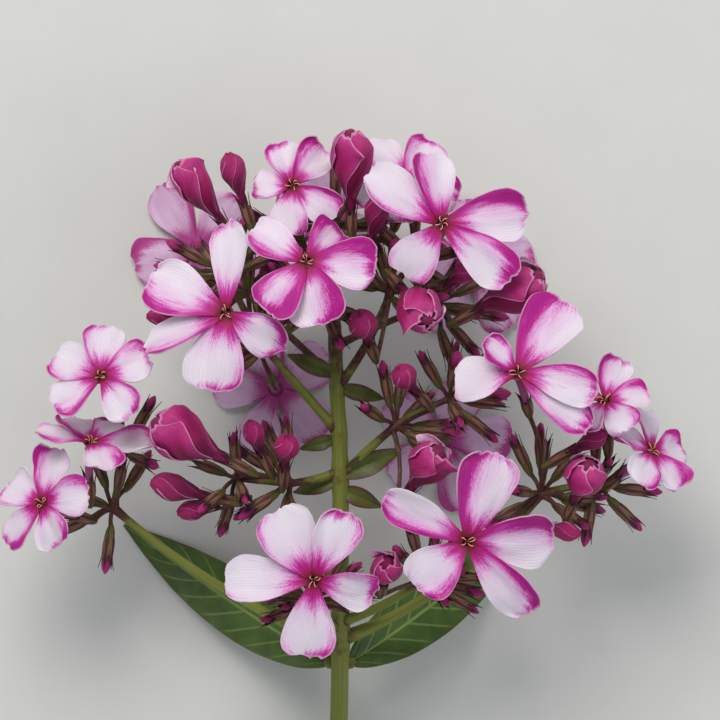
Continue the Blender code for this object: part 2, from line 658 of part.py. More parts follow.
def leaf_surface(leaf):
    """A lance-shaped leaf that droops from the stem and lies on the surface."""
    outward = direction(leaf.azimuth, 0)
    sideways = Vector((0, 0, 1)).cross(outward)
    foot = Vector(leaf.foot)

    def surface(u, v):
        fall = math.exp(-((u * leaf.length / leaf.drop) ** 2) * 2.2)
        height = foot.z * fall + 2.2 * math.sin(math.pi * min(1.0, 1.1 * u)) ** 2 * (1 - fall)
        half = 0.5 * leaf.width * max(0.09, math.sin(math.pi * min(0.985, u ** 0.8 * 0.96 + 0.04)) ** 0.85)
        fold = 0.16 * half * abs(v) * (1 - 0.5 * u)
        wave = 0.5 * math.sin(9 * u + leaf.azimuth) * v * abs(v) * min(1.0, 3 * u)
        point = Vector((foot.x, foot.y, 0)) + outward * (leaf.length * u) + sideways * (v * half)
        point += sideways * (5.0 * u * u * math.cos(math.radians(leaf.azimuth)))
        point.z = max(height + fold + wave, LEAF_THICKNESS / 2 + 0.02)
        return point

    return surface


def leaf_body(shape, leaf):
    blade(shape, leaf_surface(leaf), 8, 2, LEAF_THICKNESS)
    press_on_surface(shape)


def make_leaf(leaf, material):
    body = mesh_object(leaf.name, leaf_body, leaf)
    return joined(body, [], material)


def centre_on_surface(items):
    """Moves the whole part so that its box stands on the surface, centred on the origin."""
    corners = [vert.co for item in items for vert in item.data.vertices]
    low = Vector([min(corner[axis] for corner in corners) for axis in range(3)])
    high = Vector([max(corner[axis] for corner in corners) for axis in range(3)])
    shift = Vector((-(low.x + high.x) / 2, -(low.y + high.y) / 2, -low.z))
    for item in items:
        item.data.transform(Matrix.Translation(shift))
        item.data.update()


def main():
    remove_scene_objects()
    green = plain_material("stem_green", (0.13, 0.18, 0.04), 0.55)
    leaf_green = plain_material("leaf_green", (0.06, 0.15, 0.03), 0.5)
    white = plain_material("petal_white_magenta", (0.86, 0.66, 0.80), 0.5)
    wine = plain_material("bud_magenta", (0.45, 0.02, 0.20), 0.45)
    items = [make_stem(green)]
    items += [make_bloom(bloom, white) for bloom in BLOOMS]
    items += [make_bud(bud, ROLLED_PROFILE, wine, 10, 3, 0.1, 160) for bud in ROLLED_BUDS]
    items += [make_bud(bud, CLOSED_PROFILE, wine, 8, 2, 0.06, 120) for bud in CLOSED_BUDS]
    items += [make_leaf(leaf, leaf_green) for leaf in LEAVES]
    centre_on_surface(items)


if __name__ == "__main__":
    main()
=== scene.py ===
"""A cut flowering stem of garden phlox, lying on a pale surface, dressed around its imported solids.

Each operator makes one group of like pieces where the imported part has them. The tables below hold the
plant's own measures in millimetres and degrees: X to the right of the stem, Y along it, Z up from the floor.
"""

import math
from collections import namedtuple

import bmesh
import bpy
from mathutils import Matrix, Vector, noise


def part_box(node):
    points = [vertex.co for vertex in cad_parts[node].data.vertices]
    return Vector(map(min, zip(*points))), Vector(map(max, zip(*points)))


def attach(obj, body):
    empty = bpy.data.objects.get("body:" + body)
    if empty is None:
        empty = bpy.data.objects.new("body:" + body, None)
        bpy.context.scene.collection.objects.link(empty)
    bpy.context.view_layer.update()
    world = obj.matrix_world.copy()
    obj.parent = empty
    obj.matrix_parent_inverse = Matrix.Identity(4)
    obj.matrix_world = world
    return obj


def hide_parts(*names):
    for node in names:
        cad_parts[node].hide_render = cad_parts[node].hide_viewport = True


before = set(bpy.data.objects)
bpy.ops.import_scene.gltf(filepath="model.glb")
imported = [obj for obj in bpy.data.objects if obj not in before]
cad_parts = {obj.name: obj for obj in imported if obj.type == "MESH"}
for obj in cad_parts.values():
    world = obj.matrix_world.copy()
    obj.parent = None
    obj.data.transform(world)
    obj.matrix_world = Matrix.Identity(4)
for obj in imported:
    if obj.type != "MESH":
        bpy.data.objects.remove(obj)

bl_info = {
    "name": "Garden Phlox Head",
    "version": (1, 0, 0),
    "blender": (4, 5, 0),
    "location": "3D View > Sidebar > Phlox",
    "description": "Makes the blooms, buds, stem and leaves of a cut phlox head around its solids",
    "category": "Object",
}

MM = 0.001

# Where the plant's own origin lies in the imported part: the cut end of the stem is the lowest point in Y
CUT_END_Y = -122.0
STEM_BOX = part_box("stem")
OWN_TO_PART = Vector((-1.37, STEM_BOX[0].y / MM - CUT_END_Y, 0.0))

# Phlox has five of everything, a fifth of a turn apart, and its stalks follow each other at the golden angle
PARTS = 5
FIFTH = 72
GOLDEN_ANGLE = 137.5

# Petals: how they leave the throat, how wide they are at the foot and past the widest place, and their folds
THROAT_RADIUS = 0.95
PETAL_PITCH = 9.0
TIP_ROUNDING = 0.03
CLAW = 0.2
WIDEST = 0.75
TIP_NARROWING = 0.4
EDGE_WAVE = 0.45
BILLOW = 1.7
MIDRIB_DEPTH = 0.16

# Tubes and calyces: a sepal starts this far from the calyx's mouth, small and young buds have shorter awns,
# and the seat gap lies between a calyx's mouth and the tube
TUBE_LENGTH = 12.5
TUBE_FOOT_RADIUS = 0.85
CALYX_LENGTH = 6.5
CALYX_WIDTHS = ((-0.3, 0.5), (0.3, 0.7), (1.0, 0.93), (2.2, 1.08), (3.6, 1.12), (5.0, 1.06), (6.1, 1.0),
                (6.2, 0.95), (6.1, 0.9), (5.2, 0.86))
SEPAL_START = -3.8
SEPAL_THICKNESS = 0.12
SMALL_AWN = 0.9
YOUNG_AWN = 0.85
SEAT_GAP = 0.3

# Stamens: a filament's radius, and an anther's from its foot to its tip
FILAMENT_RADIUS = 0.07
ANTHER_RADII = (0.06, 0.08, 0.09, 0.1, 0.11, 0.115, 0.115, 0.09, 0.045)

# Stalks, from their cyme to their calyx, and how far they arch
STALK_RADII = (0.6, 0.52, 0.48, 0.46, 0.47, 0.5, 0.56)
STALK_ARCH = 0.2

# The cut end: how deep its pale wood goes, how far that stands out, and how much of the stem's width it has
CUT_DEPTH = 0.3
CUT_STEP = 0.05
CUT_SHARE = 0.9

# Skin: how dark it is where branches leave the stem and where branches fork, how far that darkness reaches,
# and how dark it is at the cymes and towards the top
STEM_FORK_DARKNESS = 0.42
BRANCH_FORK_DARKNESS = 1.0
FORK_REACH = 3.2
CYME_DARKNESS = 0.8
CYME_REACH = 6.0
TOP_DARKNESS = 0.7

# A bract's thickness, the radii of the swelling under a leaf, and the least gap between the floor and a sheet
BRACT_THICKNESS = 0.35
CUSHION_RADII = (1.3, 1.5, 0.9)
FLOOR_GAP = 0.02

# Faces across and along each kind of sheet, and round each kind of stalk
PETAL_GRID = (20, 30)
BACK_PETAL_GRID = (14, 20)
WRAP_GRID = (16, 24)
SEPAL_GRID = (4, 13)
YOUNG_SEPAL_GRID = (2, 11)
BRACT_GRID = (12, 24)
LEAF_GRID = (26, 90)
STEM_SIDES = 28
BRANCH_SIDES = 14
TUBE_SIDES = 20
SMALL_BUD_SIDES = 15
STALK_SIDES = 8
FILAMENT_SIDES = 6

# Solidify may move a point by this many thicknesses at most
FARTHEST_STEP = 1.5

# Edges sharper than this stay sharp in the shading, in radians
SHARP_ANGLE = 0.9

# Blooms below this height are at the back of the head, face down, and their petals need fewer faces
BACK_LEVEL = 30.0

# The part of the plant that the photograph's frame takes in: its width in metres, its middle and its height
VIEW_WIDTH = 0.1512
VIEW_MIDDLE_X = 5.25
HEAD_MIDDLE = 55.0
SENSOR_WIDTH = 36.0

# The lamps: name, place and size in metres, share of the key light's power, colour. Below them what they are
# aimed at, and the sky.
LAMPS = (
    ("key", (-0.16, 0.5, 0.72), 0.42, 1.0, (1.0, 0.985, 0.96)),
    ("fill", (0.6, -0.25, 0.6), 0.7, 0.3, (0.93, 0.96, 1.0)),
)
LAMP_AIM = (0.004, 0.037, HEAD_MIDDLE * MM)
SKY_COLOUR = (0.86, 0.92, 1.0, 1.0)
SKY_STRENGTH = 0.42

# More young buds: how many directions are tried round each cyme, the range of their rise, stalk and size
YOUNG_TRIES = 44
YOUNG_RISE = (-35, 62)
YOUNG_STALK = (1.5, 6.0)
YOUNG_SIZE = (2.2, 4.0)

# Where they may be: how low and how high their tips may stand, how far down the stem they may come, how far
# they may point back into the head, how near another stalk may be, and the room kept round a bloom's face
LOWEST_YOUNG = 1.5
HIGHEST_YOUNG = 58.0
FARTHEST_DOWN = -60.0
INWARD_LIMIT = -0.15
STALK_CLEARANCE = 2.3
FACE_REACH = 19.0
FACE_ROOM = (-2.4, 3.0)

# Order of the materials on a bloom, on a bud, on the stem and on a leaf
FACE, BACK, TUBE, THROAT, FILAMENT, ANTHER = range(6)
CORE, WRAP, WRAP_INSIDE = range(3)
SKIN, CALYX, SMALL_BUD, BRACT, CUT = range(5)
BLADE, UNDERSIDE = range(2)

# How wide buds are along their length, both as shares
ROLLED_PROFILE = ((0.0, 0.26), (0.16, 0.48), (0.4, 0.88), (0.62, 1.0), (0.82, 0.86), (0.95, 0.5), (1.0, 0.2))
CLOSED_PROFILE = ((0.0, 0.34), (0.22, 0.64), (0.5, 1.0), (0.76, 0.82), (0.96, 0.2))

# How a bud's petals are wound round it: the angle each covers, its turn on the way up, how deep its covered
# margin sinks and how far its free lip stands off
Winding = namedtuple("Winding", "overlap twirl depth lip")
ROLLED_WINDING = Winding(165, 95, 0.22, 0.1)
CLOSED_WINDING = Winding(128, 110, 0.12, 0.03)
WRAP_START = 0.02
CLOSED_TOP = 0.965

Petal = namedtuple("Petal", "angle length width rise bend twist left right point",
                   defaults=(8, -22, 0, 0.35, 0.35, 0.0))
Bloom = namedtuple("Bloom", "name centre azimuth tilt cyme petals tube", defaults=(TUBE_LENGTH,))
Bud = namedtuple("Bud", "name middle azimuth rise length width neck cyme")


def regular_petals(turn, length, width, rise=8, bend=-22):
    """Five petals of a bloom that hides most of itself, a little uneven."""
    sway = (0.0, 0.06, -0.05, 0.03, -0.07)
    return tuple(
        Petal(turn + FIFTH * number, length * (1 + sway[number]), width * (1 - sway[number]), rise, bend)
        for number in range(PARTS)
    )


# The main stem from its cut end to its top: x, y, z, radius. Its foot lies flat on the surface.
STEM_LINE = (
    (0.0, -122.0, 1.85, 2.0),
    (0.0, -104.0, 1.85, 2.0),
    (0.4, -88.0, 6.5, 1.95),
    (0.8, -70.0, 16.0, 1.9),
    (1.0, -50.0, 24.0, 1.8),
    (1.0, -25.0, 29.0, 1.7),
    (0.2, -4.0, 30.5, 1.45),
    (-0.4, 14.0, 31.0, 1.15),
    (0.0, 29.0, 32.0, 1.15),
)

# Branches: radius at the foot, then the points they pass. The last point is a cyme of the same name.
BRANCHES = {
    "left_upper": (1.15, (0.6, -15.5, 29.8), (-7.0, -7.0, 33.0), (-15.0, 2.5, 36.5)),
    "left_high": (0.9, (-15.0, 2.5, 36.5), (-20.0, 11.0, 37.5), (-23.0, 18.0, 38.5)),
    "left_back": (0.9, (0.1, -4.0, 30.2), (-9.0, 4.0, 26.5), (-19.0, 14.0, 24.0)),
    "right_upper": (1.05, (0.3, -6.0, 30.2), (7.5, 3.0, 34.0), (11.5, 14.0, 37.5)),
    "right_high": (0.85, (11.5, 14.0, 37.5), (14.0, 18.5, 38.0), (17.0, 21.0, 38.0)),
    "right_back": (0.9, (0.0, 3.0, 30.6), (10.0, 8.0, 27.0), (21.0, 12.0, 25.0)),
    "top_left": (0.85, (-0.4, 14.0, 31.0), (-4.0, 20.0, 33.5), (-7.0, 25.0, 35.0)),
    "top_right": (0.85, (-0.2, 18.0, 31.2), (4.5, 22.0, 32.0), (8.5, 26.0, 32.5)),
    "centre_front": (0.85, (-0.3, 7.0, 30.8), (-2.5, 10.0, 35.0), (-3.5, 13.0, 39.5)),
    "right_near": (1.15, (1.0, -25.5, 28.8), (6.0, -20.0, 31.0), (12.5, -14.5, 32.5)),
    "right_mid": (0.95, (12.5, -14.5, 32.5), (18.0, -11.0, 33.5), (24.0, -8.5, 34.0)),
    "left_near": (1.1, (1.0, -24.0, 29.0), (-4.0, -26.0, 31.0), (-9.5, -26.5, 32.5)),
    "left_mid": (0.9, (-9.5, -26.5, 32.5), (-16.0, -26.0, 33.5), (-21.0, -25.5, 34.0)),
    "right_low": (1.25, (0.9, -61.0, 19.8), (20.0, -54.0, 24.0), (36.0, -40.0, 29.0), (44.0, -29.0, 32.0)),
    "right_far": (0.95, (44.0, -29.0, 32.0), (50.0, -27.0, 32.0), (56.0, -27.0, 31.0)),
    "left_low": (1.2, (0.9, -63.0, 19.0), (-18.0, -55.0, 22.0), (-36.0, -43.0, 26.0), (-48.0, -32.0, 28.0)),
    "left_far": (0.9, (-48.0, -32.0, 28.0), (-47.0, -27.0, 28.5), (-46.0, -20.0, 29.0)),
    "front_right": (1.1, (1.0, -57.0, 21.5), (10.0, -54.0, 30.0), (19.0, -47.0, 35.0)),
    "front_left": (1.0, (0.9, -58.5, 20.9), (-3.0, -57.0, 28.0), (-4.5, -52.0, 33.5)),
}

BLOOMS = (
    Bloom("bloom_left", (-22.9, 9.9, 58.0), 150, 12, "left_upper", (
        Petal(155, 18.1, 12.6, 6, -14, 10),
        Petal(85, 19.3, 8.2, 6, -18, -28, 0.5, 0.5, 0.05),
        Petal(-30, 14.0, 9.5, -4, -30, 18, 0.4, 0.7, 0.12),
        Petal(-100, 16.6, 14.2, 4, -16, -6),
        Petal(203, 18.7, 8.4, 4, -12, 20, 0.7, 0.3),
    )),
    Bloom("bloom_centre", (-5.9, 20.6, 62.0), 95, 14, "centre_front", (
        Petal(150, 13.2, 9.8, 10, -20, 8),
        Petal(55, 13.5, 9.5, -8, -50, 10),
        Petal(-5, 14.6, 11.5, 8, -22, 8, 0.35, 0.5),
        Petal(-75, 13.8, 12.8, 6, -22, 6),
        Petal(-128, 13.6, 11.4, 6, -24, 10, 0.5, 0.35),
    )),
    Bloom("bloom_upper_right", (22.3, 28.6, 58.0), 50, 16, "right_high", (
        Petal(150, 18.4, 11.4, 10, -18, 6, 0.35, 0.5),
        Petal(100, 15.4, 10.2, 12, -24, 8),
        Petal(10, 18.2, 11.8, 10, -20, 10, 0.6, 0.3, 0.08),
        Petal(-38, 19.0, 10.2, 4, -22, 10),
        Petal(-125, 14.0, 10.6, -14, -40, 0),
    )),
    Bloom("bloom_top_right", (14.7, 37.6, 41.5), 85, 26, "top_right", (
        Petal(60, 12.5, 9.4),
        Petal(122, 13.0, 9.2),
        Petal(192, 11.5, 9.0),
        Petal(-92, 9.5, 8.4, 10, -20),
        Petal(-18, 12.0, 9.2),
    )),
    Bloom("bloom_top_left", (-9.0, 37.0, 48.0), 110, 18, "top_left", (
        Petal(50, 10.6, 8.6, 8, -20, 14),
        Petal(108, 10.0, 8.0, 14, -24, 10),
        Petal(180, 8.6, 8.0),
        Petal(-98, 11.0, 8.6, 8, -20, -10),
        Petal(-38, 11.5, 8.2, 6, -20, 12),
    )),
    Bloom("bloom_right", (38.4, -2.7, 55.0), 112, 26, "right_low", (
        Petal(57, 18.8, 13.0, 12, -18, 8),
        Petal(183, 13.6, 12.0, 4, -20, 4),
        Petal(-15, 17.2, 9.0, 2, -18, 14, 0.5, 0.5),
        Petal(-40, 19.2, 8.4, -10, -18, -10, 0.9, 0.6),
        Petal(138, 10.0, 7.6, 34, -10, 24, 0.9, 0.9),
    )),
    Bloom("bloom_lower_right", (27.7, -38.0, 58.0), -60, 8, "front_right", (
        Petal(75, 19.5, 13.4, 8, -18, 4),
        Petal(2, 18.4, 13.0, 6, -16, 10, 0.5, 0.3),
        Petal(-50, 21.0, 9.8, 2, -18, 12),
        Petal(222, 14.4, 12.0, 6, -18, -6),
        Petal(150, 20.0, 8.8, 6, -16, -24, 0.4, 0.7),
    )),
    Bloom("bloom_lower_left", (-4.4, -46.2, 55.0), -110, 8, "front_left", (
        Petal(120, 17.0, 12.6, 8, -18, 4),
        Petal(65, 16.2, 10.0, 8, -18, -8),
        Petal(178, 18.8, 10.4, 4, -16, 10),
        Petal(-15, 13.4, 9.6, 4, -20, 8),
        Petal(-95, 17.0, 11.6, 4, -16, 0),
    )),
    Bloom("bloom_far_left", (-49.6, -3.4, 48.0), 120, 22, "left_far", (
        Petal(152, 11.8, 9.6),
        Petal(86, 11.6, 9.4),
        Petal(18, 11.2, 9.4),
        Petal(-54, 11.4, 9.0),
        Petal(212, 12.0, 9.2),
    )),
    Bloom("bloom_far_left_side", (-52.0, -17.5, 42.0), 82, 62, "left_low", (
        Petal(2, 13.0, 9.4, 12, -16),
        Petal(178, 12.0, 9.4, 12, -16),
        Petal(-68, 11.0, 9.0, 10, -26),
        Petal(60, 11.0, 8.6, 10, -20),
        Petal(122, 11.0, 8.6, 10, -20),
    ), 10.0),
    Bloom("bloom_low_far_left", (-62.5, -30.5, 42.0), 150, 34, "left_low", regular_petals(4, 11.6, 9.2)),
    Bloom("bloom_far_right", (57.2, -8.6, 46.0), 100, 44, "right_far", (
        Petal(72, 10.5, 8.4, 26, -10, 30, 0.8, 0.5),
        Petal(150, 9.5, 7.4, 12, -14, 10),
        Petal(8, 9.6, 8.0, 8, -22, 8),
        Petal(-60, 9.0, 8.0, 0, -24, 0),
        Petal(-128, 9.0, 8.0, 4, -20, 0),
    ), 11.0),
    Bloom("bloom_far_right_side", (67.4, -19.4, 42.0), 42, 52, "right_far",
          regular_petals(30, 10.8, 8.8, 10, -26), 11.0),
    Bloom("bloom_back_left", (-31.0, 25.0, 1.6), 90, 180, "left_back",
          regular_petals(20, 15.4, 10.6, -2, 0)),
    Bloom("bloom_back_right", (30.0, 20.0, 1.6), 90, 180, "right_back",
          regular_petals(54, 15.4, 10.6, -2, 0)),
    Bloom("bloom_back_centre", (-13.5, -6.5, 1.6), 90, 180, "left_back",
          regular_petals(40, 15.0, 10.4, -2, 0)),
    Bloom("bloom_back_low", (24.0, -18.0, 1.6), 90, 180, "right_mid",
          regular_petals(0, 15.0, 10.4, -2, 0)),
    Bloom("bloom_back_top", (-1.0, 33.0, 9.0), 80, 152, "top_left",
          regular_petals(34, 13.0, 9.4, 0, -10), 10.0),
)

# Buds about to open, whose petals are still rolled round each other
ROLLED_BUDS = (
    Bud("rolled_bud_1", (-29.6, 36.6, 44.0), 128, 14, 14.0, 7.6, 3.0, "left_high"),
    Bud("rolled_bud_2", (3.4, 41.4, 51.0), 90, 26, 15.5, 8.8, 3.6, "top_right"),
    Bud("rolled_bud_3", (17.4, 11.1, 54.0), -50, 48, 11.5, 9.6, 3.0, "right_upper"),
    Bud("rolled_bud_4", (37.8, 14.6, 46.0), 28, 24, 15.0, 10.6, 3.0, "right_back"),
    Bud("rolled_bud_5", (-32.2, -16.4, 45.0), 152, 16, 15.5, 11.0, 4.0, "left_mid"),
    Bud("rolled_bud_6", (52.6, -25.0, 49.0), 70, 46, 10.5, 8.8, 3.0, "right_low"),
    Bud("rolled_bud_7", (19.5, -22.3, 47.0), 56, 30, 11.0, 9.2, 3.0, "right_near"),
    Bud("rolled_bud_8", (10.7, -44.5, 47.0), 80, 62, 8.0, 6.6, 3.0, "front_right"),
)

CLOSED_BUDS = (
    Bud("closed_bud_1", (-21.4, 39.6, 50.0), 108, 20, 9.5, 5.4, 3.0, "top_left"),
    Bud("closed_bud_2", (8.8, 31.2, 48.5), 80, 30, 10.5, 5.2, 3.0, "top_right"),
    Bud("closed_bud_3", (-36.8, 9.2, 42.0), 178, 12, 7.4, 3.8, 2.0, "left_high"),
    Bud("closed_bud_4", (5.9, 7.4, 50.8), 110, 52, 8.0, 6.2, 3.0, "right_upper"),
    Bud("closed_bud_5", (14.7, -3.6, 47.0), 130, 44, 7.0, 5.4, 3.0, "right_near"),
    Bud("closed_bud_6", (27.4, 18.8, 47.0), 40, 24, 7.6, 4.8, 2.0, "right_high"),
    Bud("closed_bud_7", (-34.6, -27.3, 38.0), 166, 10, 11.0, 6.0, 3.2, "left_mid"),
    Bud("closed_bud_8", (-30.4, -32.2, 34.0), 192, 6, 8.0, 4.4, 2.0, "left_mid"),
    Bud("closed_bud_9", (-17.2, -15.8, 46.0), 112, 36, 8.0, 4.4, 2.0, "left_mid"),
    Bud("closed_bud_10", (-10.4, -18.6, 46.0), 84, 44, 7.4, 5.4, 3.0, "left_near"),
    Bud("closed_bud_11", (54.5, -17.0, 44.5), 30, 20, 7.8, 4.2, 2.0, "right_low"),
    Bud("closed_bud_12", (48.9, -36.5, 40.0), -8, 14, 7.6, 4.0, 2.0, "right_low"),
)

# Bracts at the forks: foot, azimuth, rise, length, width
BRACTS = (
    ((-0.2, -3.0, 30.8), 158, 26, 11.0, 4.0),
    ((0.8, -6.0, 30.7), -14, 20, 10.0, 3.6),
    ((0.0, -17.0, 30.2), 196, 24, 8.0, 3.2),
    ((1.4, -25.0, 29.6), 24, 24, 14.0, 5.0),
    ((1.4, -28.0, 29.0), -24, 10, 9.5, 4.2),
    ((0.4, -26.0, 29.2), 196, 8, 10.0, 3.6),
)

Leaf = namedtuple("Leaf", "name foot azimuth length width drop")
LEAVES = (
    Leaf("leaf_low_left", (-2.75, -89.0, 6.2), 200, 78.0, 21.0, 30),
    Leaf("leaf_low_right", (3.55, -89.0, 6.2), -24, 82.0, 22.0, 30),
    Leaf("leaf_high_left", (-1.7, -66.0, 16.6), 152, 54.0, 14.0, 34),
    Leaf("leaf_high_right", (3.4, -66.0, 16.6), 32, 52.0, 14.0, 34),
)

# Small buds grown together with the stem: cyme, azimuth, rise, stalk length, bud size
SMALL_BUDS = (
    ("left_high", 172, 4, 6.0, 3.4),
    ("left_high", 150, 16, 5.0, 4.0),
    ("left_upper", 200, 14, 6.0, 3.4),
    ("left_back", 176, -4, 8.0, 4.0),
    ("left_back", 136, 2, 6.0, 4.4),
    ("right_upper", 84, 40, 5.0, 3.6),
    ("right_high", 14, 36, 4.0, 3.4),
    ("right_back", -10, 4, 6.0, 4.2),
    ("right_back", -48, -4, 5.0, 3.8),
    ("top_left", 150, 20, 5.0, 3.6),
    ("top_right", -6, 0, 5.0, 3.8),
    ("top", 90, 10, 5.0, 4.0),
    ("centre_front", 210, 30, 3.0, 3.4),
    ("right_mid", 78, 46, 4.0, 4.4),
    ("right_mid", 6, 24, 3.5, 4.6),
    ("right_mid", -40, 6, 4.0, 3.6),
    ("left_near", 214, 18, 3.5, 4.0),
    ("left_mid", 252, -24, 4.0, 4.0),
    ("right_low", 210, 14, 4.0, 3.6),
    ("right_far", -6, 2, 4.0, 3.8),
    ("right_far", -44, -8, 4.0, 3.6),
    ("left_low", 262, -4, 4.0, 3.8),
    ("left_low", 204, -10, 5.0, 4.0),
    ("left_far", 60, 8, 4.0, 3.6),
    ("front_right", 132, 40, 3.0, 3.4),
    ("front_left", 160, 6, 4.0, 3.4),
)

# Magenta on each petal of the nearest blooms: at its left margin, its right margin and its tip
BLUSHES = {
    "bloom_left": ((0.85, 0.15, 0.4), (0.3, 0.1, 0.45), (0.6, 0.3, 0.85),
                   (0.5, 0.05, 0.5), (0.85, 0.05, 0.3)),
    "bloom_centre": ((0.8, 0.25, 0.2), (1.0, 0.9, 0.9), (1.1, 0.3, 0.8),
                     (1.0, 0.15, 0.45), (1.2, 0.8, 0.8)),
    "bloom_upper_right": ((0.5, 0.1, 0.1), (1.0, 0.05, 0.25), (1.0, 0.05, 0.45),
                          (0.8, 0.1, 0.8), (0.5, 0.3, 0.25)),
    "bloom_right": ((1.1, 0.05, 0.5), (0.2, 0.05, 0.2), (0.8, 0.1, 0.6),
                    (0.65, 0.65, 0.7), (0.95, 0.7, 0.7)),
    "bloom_lower_right": ((1.0, 0.35, 0.5), (1.0, 0.05, 0.5), (0.85, 0.1, 0.5),
                          (0.7, 0.1, 0.4), (0.85, 0.2, 0.5)),
    "bloom_lower_left": ((0.4, 0.1, 0.25), (0.15, 0.45, 0.6), (0.25, 0.15, 0.2),
                         (0.6, 0.15, 0.65), (0.4, 0.3, 0.4)),
}

# Where the main stem forks, and the skin is dark
FORKS = [Vector(points[0]) for radius, *points in BRANCHES.values()]


def direction(azimuth, rise):
    """Unit vector of an azimuth in the surface's plane and a rise above it."""
    around = math.radians(azimuth)
    up = math.radians(rise)
    return Vector((math.cos(around) * math.cos(up), math.sin(around) * math.cos(up), math.sin(up)))


def mixed(first, second, share):
    """A direction between two others."""
    return (first * (1 - share) + second * share).normalized()


def scatter(number, low=0.0, high=1.0):
    """A fixed value between low and high that looks random from one number to the next."""
    value = math.sin(number * 12.9898 + 4.1414) * 43758.5453
    return low + (high - low) * (value - math.floor(value))


def eased(low, high, value):
    """How far a value has come from low to high, with a soft start and end."""
    share = min(max((value - low) / (high - low), 0.0), 1.0)
    return share * share * (3 - 2 * share)


def smooth_line(points, steps):
    """Points of a smooth curve that passes through all of these, with steps to each span."""
    points = [Vector(point) for point in points]
    points = [points[0] * 2 - points[1], *points, points[-1] * 2 - points[-2]]
    line = []
    for a, b, c, d in zip(points, points[1:], points[2:], points[3:]):
        for step in range(steps):
            t = step / steps
            line.append(0.5 * (2 * b + (c - a) * t + (2 * a - 5 * b + 4 * c - d) * t ** 2
                               + (3 * b - a - 3 * c + d) * t ** 3))
    line.append(points[-2])
    return line


def bezier(points, steps):
    """Points of the Bezier curve through these control points."""
    line = []
    for step in range(steps + 1):
        level = [Vector(point) for point in points]
        while len(level) > 1:
            level = [a.lerp(b, step / steps) for a, b in zip(level, level[1:])]
        line.append(level[0])
    return line


def upright(axis):
    """A direction square to an axis."""
    reference = Vector((0, 0, 1)) if abs(axis.z) < 0.9 else Vector((0, 1, 0))
    return axis.cross(reference).normalized()


